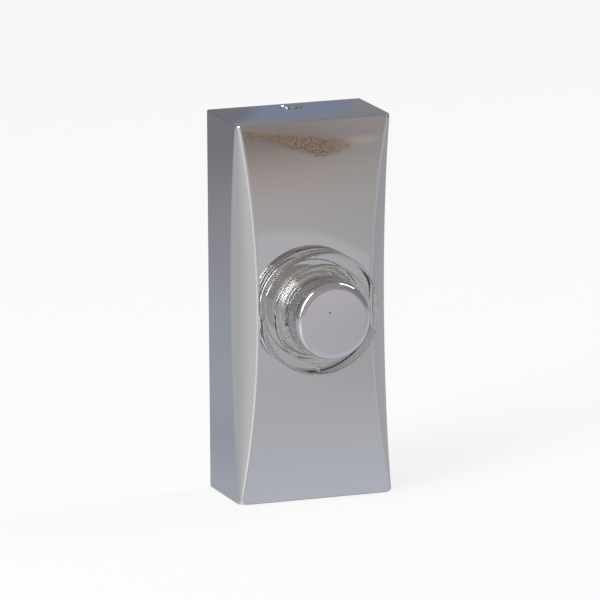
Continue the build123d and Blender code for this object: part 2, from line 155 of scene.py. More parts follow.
class CollarSettings(bpy.types.PropertyGroup):
    """Sizes and colour of the clear collar."""

    radius: length("Radius", "Outer radius of the rim", span("lens_collar").z / 2)
    flat: length("Flat", "From the axis to the flat on each side of the rim", span("lens_collar").x / 2)
    flat_blend: length("Flat blend", "How softly the rim runs into its flats", 0.5 * MM)
    rim: length("Rim", "Level of the rim, out from the wall", 22.0 * MM)
    top: length("Top", "Level of the raised inner step, out from the wall", levels("lens_collar")[1])
    end: length("Neck end", "Level of the neck's end, out from the wall", levels("lens_collar")[0])
    step: length("Step radius", "Outer radius of the raised inner step", 10.4 * MM)
    bore: length("Bore radius", "Bore that guides the button", 8.45 * MM)
    counterbore: length("Counterbore radius", "Room for the button's lip", 8.95 * MM)
    neck: length("Neck radius", "Neck through the cover", 9.7 * MM)
    shoulder: length("Shoulder", "Level of the stop for the button's lip", 18.6 * MM)
    rim_rounding: length("Rim rounding", "Rounding of the rim's edge", 0.7 * MM)
    step_rounding: length("Step rounding", "Rounding of the step's edges", 0.3 * MM)
    fine_rounding: length("Fine rounding", "Rounding of the other edges", 0.12 * MM)
    seat_gap: length("Seat gap", "Air left between the rim and the cover", 0.03 * MM)
    peg: length("Peg radius", "Radius of the two locating pegs under the rim", 0.5 * MM)
    peg_inset: length("Peg inset", "From the rim's edge to a peg's axis", 0.9 * MM)
    peg_end: length("Peg end", "Level of the pegs' ends, out from the wall", 16.8 * MM)
    colour: tint("Clear plastic", "Tint of the clear plastic", (0.96, 0.97, 0.96))
    # Painted glow: an emission in the frosted neck that stands in for light it scatters; the neck is no lamp.
    painted_glow: tint("Glow", "Light that the frosted neck scatters", (0.1, 0.098, 0.09))


class CapSettings(bpy.types.PropertyGroup):
    """Sizes and colour of the button's cap."""

    radius: length("Radius", "Radius of the cap's side", 8.15 * MM)
    lip: length("Lip radius", "Radius of the lip that stops under the collar", span("button_cap").x / 2)
    top: length("Top", "Level of the button's face, out from the wall", levels("button_cap")[1])
    bottom: length("Bottom", "Level of the cap's open end", levels("button_cap")[0])
    lip_top: length("Lip top", "Level of the lip's stop face", 18.6 * MM)
    wall: length("Wall", "Thickness of the cap's side", 1.1 * MM)
    face: length("Face", "Thickness of the cap's face", 1.4 * MM)
    rounding: length("Rounding", "Rounding of the face's edge", 1.5 * MM)
    fine_rounding: length("Fine rounding", "Rounding of the other edges", 0.15 * MM)
    colour: tint("Chrome", "Colour that the button's chromium reflects", (0.64, 0.63, 0.65))


class WorksSettings(bpy.types.PropertyGroup):
    """Sizes and colours of the pieces inside."""

    wire: length("Spring wire", "Radius of the spring's wire", 0.35 * MM)
    coil: length("Coil radius", "Radius of the spring's coils to the wire's middle", 4.58 * MM)
    turns: IntProperty(name="Spring turns", description="Number of the spring's coils", default=5, min=2)
    terminal_shank: length("Terminal shank", "Radius of a terminal screw's shank", 1.4 * MM)
    bridge_shank: length("Bridge shank", "Radius of a bridge screw's shank", 0.95 * MM)
    cover_shank: length("Cover screw shank", "Radius of the cover screw's shank", 1.45 * MM)
    pitch: length("Thread pitch", "Pitch of the screws' threads", 0.6 * MM)
    slot: length("Slot width", "Width of the slots in the screws", 0.6 * MM)
    slot_depth: length("Slot depth", "Depth of the slots in the screws", 0.6 * MM)
    led_base: length("Lamp base", "Height of a lamp's square base", 0.7 * MM)
    led_dome: length("Lamp dome", "Radius of a lamp's dome", 0.85 * MM)
    resistor_length: length("Resistor length", "Length of the resistor's body", 3.6 * MM)
    resistor_radius: length("Resistor radius", "Radius of the resistor's beads", 0.75 * MM)
    lead: length("Lead", "Radius of the resistor's leads", 0.25 * MM)
    solder: length("Solder", "Radius of the solder round a pin", 0.8 * MM)
    leaf_root: length("Leaf root", "Where the leaf starts to bend, left of the button's axis", 11.0 * MM)
    leaf_free: length("Leaf reach", "How far along it the leaf follows the button fully", 9.0 * MM)
    steel: tint("Spring steel", "Colour of the spring and the retainer", (0.5, 0.5, 0.5))
    white: tint("White plastic", "Colour of the plunger and the bridge", (0.8, 0.8, 0.77))
    base: tint("Base plastic", "Colour of the base plate", (0.74, 0.74, 0.72))
    brass: tint("Brass", "Colour of the contact strips", (0.72, 0.52, 0.22))
    tin: tint("Tinned metal", "Colour of the contact tips and pins", (0.75, 0.74, 0.7))
    board: tint("Board", "Colour of the lamp board", (0.8, 0.8, 0.78))
    lamp: tint("Lamp", "Colour of the lamps' resin", (0.95, 0.94, 0.86))
    lacquer: tint("Lacquer", "Colour of the resistor's lacquer", (0.55, 0.42, 0.26))
    zinc: tint("Zinc plate", "Colour of the screws", (0.6, 0.6, 0.6))


class StageSettings(bpy.types.PropertyGroup):
    """Camera, floor and cards."""

    azimuth: angle("Azimuth", "Camera's place round the push", -19.92)
    elevation: angle("Elevation", "Camera's height above the horizon", 12.295)
    roll: angle("Roll", "Turn of the camera about its own axis", -0.40)
    distance: length("Distance", "Camera's distance from the back's centre", 1.6629)
    offset_right: length("Offset right", "How far the push stands right of the picture's centre", -3.06 * MM)
    offset_up: length("Offset up", "How far the push stands above the picture's centre", 1.49 * MM)
    lens: FloatProperty(name="Lens", description="Focal length in millimetres", default=480.0)
    floor_size: length("Floor", "Side of the floor", 4.0)
    floor_colour: tint("Floor colour", "Colour of the plain floor", (0.9, 0.9, 0.9))
    card_gap: length("Card gap", "Height of the lying cards above the floor", 0.05 * MM)


# Node helpers; a socket knows its own tree


def feed(made, inputs):
    """Links each input of a node that is given a socket, and sets any other; a colour has three numbers."""
    for key, value in inputs.items():
        target = made.inputs[key]
        if isinstance(value, Socket):
            made.id_data.links.new(value, target)
        else:
            target.default_value = (*value, 1.0) if target.type == "RGBA" else value


def node(tree, kind, inputs=None, **attributes):
    """Adds a node with its attributes and inputs."""
    made = tree.nodes.new(kind)
    for key, value in attributes.items():
        setattr(made, key, value)
    feed(made, inputs or {})
    return made


def result(tree, kind, inputs=None, **attributes):
    """Adds a node and gives its first output."""
    return node(tree, kind, inputs, **attributes).outputs[0]


def tree_of(values):
    """Tree of the first socket among some values."""
    return next(value for value in values if isinstance(value, Socket)).id_data


def maths(operation, *values):
    """Socket of a Math node."""
    return result(tree_of(values), "ShaderNodeMath", dict(enumerate(values)), operation=operation)


def plus(first, second):
    return maths("ADD", first, second)


def minus(first, second):
    return maths("SUBTRACT", first, second)


def times(first, second):
    return maths("MULTIPLY", first, second)


def vectors(operation, *values):
    """Socket of a Vector Math node."""
    made = node(tree_of(values), "ShaderNodeVectorMath", dict(enumerate(values)), operation=operation)
    return made.outputs["Value" if operation == "LENGTH" else "Vector"]


def axes(place):
    """Sockets of a place's X, Y and Z."""
    return node(place.id_data, "ShaderNodeSeparateXYZ", {0: place}).outputs


def combined(tree, x=0.0, y=0.0, z=0.0):
    """Socket of a place from its X, Y and Z."""
    return result(tree, "ShaderNodeCombineXYZ", {"X": x, "Y": y, "Z": z})


def mixed(share, first, second):
    """Socket of a colour mixed from two colours."""
    values = {"Factor": share, 6: first, 7: second}
    return node(share.id_data, "ShaderNodeMix", values, data_type="RGBA").outputs[2]


def eased(value, start, end):
    """Socket that eases from 0 to 1 while a value goes from start to end."""
    limits = {"Value": value, "From Min": start, "From Max": end}
    return result(value.id_data, "ShaderNodeMapRange", limits, interpolation_type="SMOOTHSTEP")


def ramp(value, stops, interpolation="LINEAR"):
    """Socket of a colour that changes along a value, through (value, colour) stops."""
    low, high = stops[0][0], stops[-1][0]
    tree = value.id_data
    share = result(tree, "ShaderNodeMapRange", {"Value": value, "From Min": low, "From Max": high})
    made = node(tree, "ShaderNodeValToRGB", {0: share})
    made.color_ramp.interpolation = interpolation
    elements = made.color_ramp.elements
    elements.remove(elements[1])
    elements[0].color = (*stops[0][1], 1.0)
    for place, colour in stops[1:]:
        elements.new((place - low) / (high - low)).color = (*colour, 1.0)
    return made.outputs[0]


def greys(stops):
    """Stops of a ramp in plain greys."""
    return [(place, (level, level, level)) for place, level in stops]


def noise(place, scale, detail):
    """Socket of a noise pattern."""
    return result(place.id_data, "ShaderNodeTexNoise", {"Vector": place, "Scale": scale, "Detail": detail})


def empty_tree(holder):
    """Node tree of a material or world, without its first nodes."""
    holder.use_nodes = True
    holder.node_tree.nodes.clear()
    return holder.node_tree


# Mesh helpers


def link_object(name, data):
    """New object at the origin that holds a mesh, a camera or a lamp."""
    made = bpy.data.objects.new(name, data)
    bpy.context.scene.collection.objects.link(made)
    return made


def mesh_object(name, points, faces):
    """New object from points in metres and faces."""
    mesh = bpy.data.meshes.new(name)
    mesh.from_pydata([Vector(point) for point in points], [], faces)
    return link_object(name, mesh)


def baked(obj):
    """Replaces an object's mesh with its evaluated one and drops its modifiers."""
    graph = bpy.context.evaluated_depsgraph_get()
    mesh = bpy.data.meshes.new_from_object(obj.evaluated_get(graph))
    obj.modifiers.clear()
    obj.data = mesh
    mesh.name = obj.name
    return obj


def reworked(obj, *steps):
    """Runs mesh steps on an object's own mesh."""
    work = bmesh.new()
    work.from_mesh(obj.data)
    for step in steps:
        step(work)
    work.to_mesh(obj.data)
    work.free()
    return obj


def merge(work):
    bmesh.ops.remove_doubles(work, verts=work.verts, dist=MERGE)
    bmesh.ops.dissolve_degenerate(work, edges=work.edges, dist=MERGE)


def face_out(work):
    bmesh.ops.recalc_face_normals(work, faces=work.faces)


def join_flat(work):
    bmesh.ops.dissolve_limit(work, angle_limit=math.radians(0.5), verts=work.verts, edges=work.edges)


def closed(obj):
    """Merges doubled points and turns every face outwards."""
    return reworked(obj, merge, face_out)


def smoothed(obj, sharp_angle=25.0):
    """Smooth shading in which large flat faces keep their own normals."""
    obj.data.polygons.foreach_set("use_smooth", [True] * len(obj.data.polygons))
    obj.data.set_sharp_from_angle(angle=math.radians(sharp_angle))
    weighted = obj.modifiers.new("Flat faces", "WEIGHTED_NORMAL")
    weighted.keep_sharp = True
    weighted.weight = 100
    return baked(obj)


def cut(obj, cutters, operation="DIFFERENCE"):
    """Cuts or joins closed meshes one after another, and removes them."""
    for cutter in cutters:
        step = obj.modifiers.new("Cut", "BOOLEAN")
        step.operation = operation
        step.solver = "EXACT"
        step.object = cutter
        baked(obj)
        bpy.data.objects.remove(cutter)
    return obj


def bevelled(obj, width):
    """Rounds an object's sharp edges."""
    bevel = obj.modifiers.new("Soft edges", "BEVEL")
    bevel.width = width
    bevel.segments = 2
    bevel.limit_method = "ANGLE"
    bevel.angle_limit = math.radians(40)
    return baked(obj)


def dressed(obj, finish, body, *nodes):
    """Gives a piece its finish and the slot of that name, its body and the nodes that it stands for."""
    obj.data.materials.clear()
    obj.data.materials.append(FINISHES[finish])
    if body:
        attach(obj, body)
    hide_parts(*nodes)


def softened(name, word, width, finish, body, *steps):
    """Piece with a CAD node's form and rounded edges, named for the node and a word."""
    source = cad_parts[name]
    piece = link_object(f"{name}_{word}", source.data.copy())
    piece.data.transform(source.matrix_world)
    reworked(piece, merge, face_out, join_flat)
    smoothed(bevelled(piece, width))
    if steps:
        reworked(piece, *steps)
    dressed(piece, finish, body, name)
    return piece


def world_point(x, out, up):
    """Point in the shared frame: x across, out from the wall and up it."""
    return Vector((x, -out, up))


def prism(name, outline, low, high):
    """Closed prism of an outline of (x, up) points between two levels out from the wall."""
    count = len(outline)
    points = [world_point(x, level, up) for level in (low, high) for x, up in outline]
    sides = [(i, (i + 1) % count, count + (i + 1) % count, count + i) for i in range(count)]
    ends = [tuple(range(count)), tuple(range(2 * count - 1, count - 1, -1))]
    return closed(mesh_object(name, points, sides + ends))


def round_outline(radius, segments, up=0.0):
    """Points of a circle on the push's middle line, as (x, up) points."""
    turns = [2 * math.pi * i / segments for i in range(segments)]
    return [(radius * math.cos(turn), up + radius * math.sin(turn)) for turn in turns]


def box_outline(width, height, x=0.0, up=0.0):
    """Corners of a rectangle, as (x, up) points."""
    return [(x + sx * width / 2, up + sy * height / 2) for sx, sy in ((-1, -1), (1, -1), (1, 1), (-1, 1))]


# Geometry trees


def grown(name, sizes, finish, form_of):
    """Piece from a geometry tree with an input for each size; form_of takes the tree and its inputs."""
    tree = bpy.data.node_groups.new(name, "GeometryNodeTree")
    for size, default in sizes.items():
        socket = tree.interface.new_socket(size, in_out="INPUT", socket_type="NodeSocketFloat")
        socket.subtype = "DISTANCE"
        socket.default_value = default
    tree.interface.new_socket("Finish", in_out="INPUT", socket_type="NodeSocketMaterial")
    tree.interface.new_socket("Geometry", in_out="OUTPUT", socket_type="NodeSocketGeometry")
    given = node(tree, "NodeGroupInput").outputs
    real = result(tree, "GeometryNodeRealizeInstances", {0: form_of(tree, given)})
    painted = result(tree, "GeometryNodeSetMaterial", {0: real, "Material": given["Finish"]})
    node(tree, "NodeGroupOutput", {0: painted})
    holder = link_object(name, bpy.data.meshes.new(name))
    modifier = holder.modifiers.new("Form", "NODES")
    modifier.node_group = tree
    for item in tree.interface.items_tree:
        if item.in_out == "INPUT":
            modifier[item.identifier] = sizes.get(item.name, FINISHES.get(finish))
    return closed(baked(holder))


def switch(tree, kind, values):
    """Socket that gives each point of a line its own value."""
    chosen = node(tree, "GeometryNodeIndexSwitch", data_type=kind)
    while len(chosen.index_switch_items) < len(values):
        chosen.index_switch_items.new()
    feed(chosen, dict(enumerate((result(tree, "GeometryNodeInputIndex"), *values))))
    return chosen.outputs[0]


def bent_line(tree, places, roundings, rounding_steps, cyclic=False):
    """Socket of a line through places, with each corner rounded by its own radius."""
    line = result(tree, "GeometryNodeMeshLine", {"Count": len(places)})
    curve = result(tree, "GeometryNodeMeshToCurve", {"Mesh": line})
    placed = result(tree, "GeometryNodeSetPosition", {0: curve, "Position": switch(tree, "VECTOR", places)})
    ring = result(tree, "GeometryNodeSetSplineCyclic", {0: placed, "Cyclic": cyclic})
    corners = {0: ring, "Count": rounding_steps, "Radius": switch(tree, "FLOAT", roundings)}
    return result(tree, "GeometryNodeFilletCurve", corners, mode="POLY")


def corner_sizes(corners):
    """Named sizes of a turned form, whose corners each have a radius, a level and perhaps a rounding."""
    kinds = ("radius", "level", "rounding")
    return {f"{name} {kind}": size for name, corner in corners.items() for kind, size in zip(kinds, corner)}


def turned_form(tree, given, corners, segments, rounding_steps):
    """Socket of a form turned about Z, with its corners' sizes taken from the tree's inputs."""
    path_radius = given[f"{next(iter(corners))} radius"]
    places = []
    roundings = []
    for name, corner in corners.items():
        across = minus(given[f"{name} radius"], path_radius)
        places.append(combined(tree, across, times(given[f"{name} level"], -1.0)))
        roundings.append(given[f"{name} rounding"] if len(corner) > 2 else 0.0)
    profile = bent_line(tree, places, roundings, rounding_steps, cyclic=True)
    circle = result(tree, "GeometryNodeCurvePrimitiveCircle", {"Resolution": segments, "Radius": path_radius})
    path = result(tree, "GeometryNodeSetCurveNormal", {0: circle}, mode="Z_UP")
    return result(tree, "GeometryNodeCurveToMesh", {"Curve": path, "Profile Curve": profile})


def moved(form, place=(0.0, 0.0, 0.0), turn=0.0):
    """Socket of a form turned about X and put in its place."""
    values = {0: form, "Translation": place, "Rotation": (turn, 0.0, 0.0)}
    return result(form.id_data, "GeometryNodeTransform", values)


def turned_piece(name, corners, finish, segments, rounding_steps, place=(0.0, 0.0, 0.0), turn=OUT):
    """Turned piece whose axis runs out from the wall unless another turn is given."""

    def form(tree, given):
        return moved(turned_form(tree, given, corners, segments, rounding_steps), place, turn)

    return grown(name, corner_sizes(corners), finish, form)


def joined(*forms):
    """Socket of several forms as one."""
    made = node(forms[0].id_data, "GeometryNodeJoinGeometry")
    for form in forms:
        feed(made, {0: form})
    return made.outputs[0]


def copies(form, first, last):
    """Socket of two copies of a form, at two places."""
    line = {"Count": 2, "Start Location": first, "Offset": tuple(b - a for a, b in zip(first, last))}
    points = result(form.id_data, "GeometryNodeMeshLine", line)
    return result(form.id_data, "GeometryNodeInstanceOnPoints", {"Points": points, "Instance": form})


def swept(curve, radius, sides):
    """Socket of a wire along a curve."""
    tree = curve.id_data
    section = result(tree, "GeometryNodeCurvePrimitiveCircle", {"Resolution": sides, "Radius": radius})
    values = {"Curve": curve, "Profile Curve": section, "Fill Caps": True}
    return result(tree, "GeometryNodeCurveToMesh", values)


def coil(tree, given, segments, sides):
    """Socket of a wire wound round Z between the Low and High levels."""
    rise = minus(given["High"], given["Low"])
    spiral = {
        "Resolution": segments,
        "Rotations": maths("DIVIDE", rise, given["Pitch"]),
        "Start Radius": given["Coil"],
        "End Radius": given["Coil"],
        "Height": rise,
        "Reverse": False,
    }
    wire = swept(result(tree, "GeometryNodeCurveSpiral", spiral), given["Wire"], sides)
    return moved(wire, combined(tree, z=given["Low"]))


# Shader groups that more than one finish uses


def shader_group(name, inputs, outputs):
    """Shader group with named float inputs besides the surface's coordinates, and float outputs."""
    group = bpy.data.node_groups.new(name, "ShaderNodeTree")
    group.interface.new_socket("Vector", in_out="INPUT", socket_type="NodeSocketVector")
    for socket, default in inputs.items():
        made = group.interface.new_socket(socket, in_out="INPUT", socket_type="NodeSocketFloat")
        made.default_value = default
    for socket in outputs:
        group.interface.new_socket(socket, in_out="OUTPUT", socket_type="NodeSocketFloat")
    return group, node(group, "NodeGroupInput").outputs


def polish_group():
    """Buffed metal: soft waves, fine hairlines and a little haze."""
    group, given = shader_group("Polish", {"Haze": 0.05, "Spread": 0.03}, ("Roughness", "Height"))
    place = given["Vector"]
    stretched = result(group, "ShaderNodeMapping", {0: place, "Scale": (9000.0, 9000.0, 260.0)})
    hairs = noise(stretched, 1.0, 2.0)
    cloud = times(minus(noise(place, 160.0, 4.0), 0.5), given["Spread"])
    height = plus(noise(place, 55.0, 1.0), times(hairs, 0.004))
    node(group, "NodeGroupOutput", {"Roughness": plus(given["Haze"], cloud), "Height": height})


def pits_group():
    """Sparse small pits in a plated face."""
    group, given = shader_group("Pits", {"Spacing": 420.0, "Size": 0.05}, ("Mask",))
    values = {"Vector": given["Vector"], "Scale": given["Spacing"]}
    cells = node(group, "ShaderNodeTexVoronoi", values).outputs
    chance = result(group, "ShaderNodeSeparateColor", {0: cells["Color"]})
    near = maths("LESS_THAN", cells["Distance"], given["Size"])
    node(group, "NodeGroupOutput", {"Mask": times(maths("GREATER_THAN", chance, 0.93), near)})


def grain_group():
    """Moulded or lacquered surface: fine grain with soft changes of gloss."""
    group, given = shader_group("Grain", {"Gloss": 0.45, "Scale": 2600.0}, ("Roughness", "Height", "Shade"))
    fine = noise(given["Vector"], given["Scale"], 3.0)
    broad = noise(given["Vector"], 110.0, 3.0)
    roughness = plus(given["Gloss"], times(minus(broad, 0.5), 0.18))
    node(group, "NodeGroupOutput", {"Roughness": roughness, "Height": fine, "Shade": broad})


# Finishes


def new_finish(name):
    """Adds a finish; returns its shader and the surface's coordinates."""
    FINISHES[name] = bpy.data.materials.new(name)
    tree = empty_tree(FINISHES[name])
    shader = node(tree, "ShaderNodeBsdfPrincipled")
    node(tree, "ShaderNodeOutputMaterial", {"Surface": shader.outputs[0]})
    return shader, node(tree, "ShaderNodeTexCoord").outputs["Object"]


def bumped(height, strength, distance):
    """Socket of a normal that follows a height."""
    values = {"Height": height, "Strength": strength, "Distance": distance}
    return result(height.id_data, "ShaderNodeBump", values)


def placed_group(name, place, **values):
    """Outputs of a shader group in a material, with its own values."""
    inputs = {"Vector": place, **{key.capitalize(): value for key, value in values.items()}}
    return node(place.id_data, "ShaderNodeGroup", inputs, node_tree=bpy.data.node_groups[name]).outputs


def dimmed(colour, share):
    """A share of a colour."""
    return tuple(channel * share for channel in colour)


def chrome(name, colour, haze, wave, pit=0.0, shift=(0.0, 0.0, 0.0)):
    """Bright chromium plate with soft waves and a little haze, and sparse pits where they have a size."""
    shader, place = new_finish(name)
    polish = placed_group("Polish", place, haze=haze, spread=haze)
    if pit:
        pits = placed_group("Pits", vectors("ADD", place, shift), size=pit)
        dark = (0.12, 0.11, 0.11)
        colour = mixed(pits["Mask"], colour, dark)
    normal = bumped(polish["Height"], wave, 0.1 * MM)
    feed(shader, {"Base Color": colour, "Roughness": polish["Roughness"], "Metallic": 1.0, "Normal": normal})


def clear_plastic(name, colour, painted_glow, frosted_level):
    """Clear polished plastic, frosted below one level, where a faint painted glow is added: an emission that
    stands in for scattered light.
    """
    shader, place = new_finish(name)
    polish = placed_group("Polish", place, haze=0.03, spread=0.01)
    below = maths("GREATER_THAN", axes(place)["Y"], -frosted_level)
    feed(shader, {
        "Base Color": colour,
        "Roughness": plus(polish["Roughness"], times(below, 0.5)),
        # painted glow: the frosted part gives a faint light of its own
        "Emission Color": mixed(below, (0.0, 0.0, 0.0), painted_glow),
        "Emission Strength": 1.0,
        "Transmission Weight": 1.0,
        "IOR": 1.49,
    })


def metal(name, colour, haze):
    """Plain rolled, drawn or plated metal."""
    shader, place = new_finish(name)
    polish = placed_group("Polish", place, haze=haze, spread=0.3)
    face = mixed(placed_group("Grain", place)["Shade"], dimmed(colour, 0.8), colour)
    normal = bumped(polish["Height"], 0.1, 0.05 * MM)
    feed(shader, {"Base Color": face, "Roughness": polish["Roughness"], "Metallic": 1.0, "Normal": normal})


def plastic(name, colour, gloss):
    """Moulded plastic with a fine grain."""
    shader, place = new_finish(name)
    grain = placed_group("Grain", place, gloss=gloss)
    face = mixed(grain["Shade"], dimmed(colour, 0.93), colour)
    normal = bumped(grain["Height"], 0.15, 0.03 * MM)
    feed(shader, {"Base Color": face, "Roughness": grain["Roughness"], "Normal": normal})


def board_finish(name, colour, tin, solder):
    """Lacquered circuit board with faint tracks and a tinned pad round each pin."""
    shader, place = new_finish(name)
    grain = placed_group("Grain", place, gloss=0.3)
    cells = {"Vector": place, "Scale": 330.0}
    edges = node(place.id_data, "ShaderNodeTexVoronoi", cells, feature="DISTANCE_TO_EDGE").outputs["Distance"]
    tracks = maths("LESS_THAN", edges, 0.1)
    lacquer = mixed(tracks, colour, dimmed(colour, 0.9))
    x, _, up = axes(place)
    pin_x, pin_up = middle("lamp_pin_right")
    across, along_pin = minus(maths("ABSOLUTE", x), pin_x), minus(up, pin_up)
    apart = maths("SQRT", plus(maths("POWER", across, 2.0), maths("POWER", along_pin, 2.0)))
    pad = maths("LESS_THAN", apart, solder * 1.3)
    feed(shader, {
        "Base Color": mixed(pad, lacquer, tin),
        "Metallic": pad,
        "Roughness": grain["Roughness"],
        "Normal": bumped(tracks, 0.3, 0.03 * MM),
    })


def lamp_finish(name, colour, base_top):
    """Milky resin dome on a white base."""
    shader, place = new_finish(name)
    dome = eased(axes(place)["Y"], -base_top, -base_top - 0.15 * MM)
    feed(shader, {
        "Base Color": mixed(dome, (0.86, 0.86, 0.83), colour),
        "Roughness": placed_group("Grain", place, gloss=0.22)["Roughness"],
        "Subsurface Weight": 0.3,
        "Subsurface Radius": (0.4 * MM, 0.4 * MM, 0.3 * MM),
    })


def resistor_finish(name, colour, tin, body_length):
    """Lacquered body with colour rings, on tinned leads."""
    shader, place = new_finish(name)
    up = axes(place)["Z"]
    half, ring_width = body_length / 2, 0.08
    rings = (
        (0.12, (0.5, 0.2, 0.02)),
        (0.34, (0.45, 0.02, 0.02)),
        (0.5, (0.2, 0.06, 0.02)),
        (0.8, (0.7, 0.5, 0.12)),
    )
    stops = [(-half, colour)]
    for start, ring in rings:
        ends = (start, ring), (start + ring_width, colour)
        stops += [(share * body_length - half, shown) for share, shown in ends]
    lacquer = ramp(up, [*stops, (half, colour)], "CONSTANT")
    bare = maths("GREATER_THAN", maths("ABSOLUTE", up), half)
    roughness = placed_group("Grain", place, gloss=0.25)["Roughness"]
    feed(shader, {"Base Color": mixed(bare, lacquer, tin), "Metallic": bare, "Roughness": roughness})


# Cover


def scallop_slant(cover):
    """How far a scallop cuts into the front at the waist, and the length of its section there."""
    front_cut = (cover.width - cover.waist) / 2
    return front_cut, math.hypot(front_cut, cover.side_cut)


def scallop_depth(cover, up):
    """How deep the scallop cuts the corner at one height, square to the band."""
    front_cut, slant = scallop_slant(cover)
    deepest = front_cut * cover.side_cut / slant
    rise = deepest - cover.end_cut
    radius = (cover.height**2 / 4 + rise**2) / (2 * rise)
    return deepest - radius + math.sqrt(radius**2 - up**2)


def section_corners(cover, up, side, band, front):
    """Corners of the section at one height, left to right as (x, out); each face has its own inset."""
    front_cut, slant = scallop_slant(cover)
    along_x, along_out = cover.side_cut / slant, front_cut / slant
    reach = scallop_depth(cover, up) + band
    half = cover.width / 2
    crease_x = min(half - (reach - front * along_out) / along_x, half - side - LEAST)
    crease_out = min(cover.depth - (reach - side * along_x) / along_out, cover.depth - front - LEAST)
    return [
        Vector((-half + side, crease_out)),
        Vector((-crease_x, cover.depth - front)),
        Vector((crease_x, cover.depth - front)),
        Vector((half - side, crease_out)),
    ]


def crowned(corners, share):
    """Section's corners with one more in each scallop, which stands out by a share of its width."""
    near, left, right, far = corners
    left_rise = Vector((near.y - left.y, left.x - near.x)) * share
    right_rise = Vector((right.y - far.y, far.x - right.x)) * share
    return [near, (near + left) / 2 + left_rise, left, right, (right + far) / 2 + right_rise, far]


def rounded_section(corners, back, radii, steps):
    """Section line with its corners rounded; it starts and ends on the back level."""
    first = Vector((corners[0].x, back))
    last = Vector((corners[-1].x, back))
    line = [first]
    chain = [first, *corners, last]
    legs = [b - a for a, b in zip(chain, chain[1:])]
    turns = [a.angle(b) for a, b in zip(legs, legs[1:])]
    reaches = [0.0, *(radius * math.tan(turn / 2) for radius, turn in zip(radii, turns)), 0.0]
    room = 0.96  # share of a leg that the roundings at its two ends may take
    shares = [min(1.0, room * leg.length / (a + b)) for leg, a, b in zip(legs, reaches, reaches[1:])]
    for i, (corner, turn) in enumerate(zip(corners, turns)):
        coming = legs[i].normalized()
        share = min(shares[i], shares[i + 1])
        start = corner - coming * reaches[i + 1] * share
        centre = start + Vector((coming.y, -coming.x)) * radii[i] * share
        for step in range(steps + 1):
            line.append(centre + Matrix.Rotation(-turn * step / steps, 2) @ (start - centre))
    return [*line, last]


def loft(name, rows):
    """Closed body through rows of points that all start and end on the back; its ends and back are flat."""
    width = len(rows[0])
    starts = [row * width for row in range(len(rows))]
    faces = []
    for start in starts[:-1]:
        for a in range(start, start + width - 1):
            faces.append((a, a + 1, a + width + 1, a + width))
    top = starts[-1]
    faces.append(tuple(range(width)))
    faces.append(tuple(range(top + width - 1, top - 1, -1)))
    faces.append((*starts, *(start + width - 1 for start in reversed(starts))))
    return closed(mesh_object(name, [point for row in rows for point in row], faces))


def end_inset(cover, up, reach, drop):
    """How far a face lies in at one height, where a quarter of an ellipse rounds it over at the ends."""
    past = abs(up) - (cover.height / 2 - drop)
    return reach * (1 - math.sqrt(max(1 - (past / drop) ** 2, 0.0))) if past > 0 else 0.0


def cover_heights(cover, rows, end_steps):
    """Heights of the cover's rows, closer together where its ends are rounded."""
    straight = cover.height / 2 - cover.band_end
    heights = [straight * (2 * i / rows - 1) for i in range(rows + 1)]
    for step in range(1, end_steps + 1):
        rise = straight + cover.band_end * math.sin(math.pi / 2 * step / end_steps)
        heights = [-rise, *heights, rise]
    return heights


def cover_outside(cover):
    """Outer form of the cover as one closed body."""
    sharpened = 0.9  # share of their rounding that the creases lose at the very ends
    rows = []
    for up in cover_heights(cover, rows=96, end_steps=20):
        side, band = (end_inset(cover, up, radius, radius) for radius in (cover.side_end, cover.band_end))
        front_end = (cover.roll, cover.roll_drop) if up > 0 else (cover.foot_end, cover.foot_end)
        front = end_inset(cover, up, *front_end)
        side_crease = cover.side_crease * (1 - sharpened * (side + band) / (cover.side_end + cover.band_end))
        front_crease = cover.front_crease * (1 - sharpened * band / cover.band_end)
        corners = crowned(section_corners(cover, up, side, band, front), cover.crown)
        crown = (corners[2] - corners[0]).length / (8 * cover.crown)
        radii = (side_crease, crown, front_crease, front_crease, crown, side_crease)
        line = rounded_section(corners, 0.0, radii, steps=10)
        rows.append([world_point(x, out, up) for x, out in line])
    return loft("front_cover_chrome", rows)


def cover_cavity(cover):
    """Cavity of the cover, open through the back."""
    half, count = cover.height / 2 - cover.wall, 48
    rows = []
    for i in range(count + 1):
        up = half * (2 * i / count - 1)
        corners = section_corners(cover, up, cover.wall, cover.wall, cover.wall)
        line = rounded_section(corners, -cover.wall, (cover.inner,) * 4, steps=4)
        rows.append([world_point(x, out, up) for x, out in line])
    return loft("cavity", rows)


def countersink_cutter(cover, shank):
    """Cone and hole for the cover screw in the top wall."""
    low, high = levels("cover_screw")
    head_gap, shank_gap = 0.08 * MM, 0.05 * MM
    mouth, hole = (high - low) / 2 + head_gap, shank + shank_gap
    top = cover.height / 2
    over, through = top + cover.wall, top - 2 * cover.wall
    corners = {
        "Over": (mouth, over),
        "Mouth": (mouth, top),
        "Cone end": (hole, top - (mouth - hole)),
        "Through": (hole, through),
        "Axis through": (0.0, through),
        "Axis over": (0.0, over),
    }
    place = world_point(0.0, (low + high) / 2, 0.0)
    return turned_piece("countersink", corners, None, segments=64, rounding_steps=1, place=place, turn=0.0)


def peg_outlines(collar, radius):
    """Circles of one radius at the places of the collar's two locating pegs."""
    heights = (collar.peg_inset - collar.radius, collar.radius - collar.peg_inset)
    return [round_outline(radius, segments=24, up=up) for up in heights]


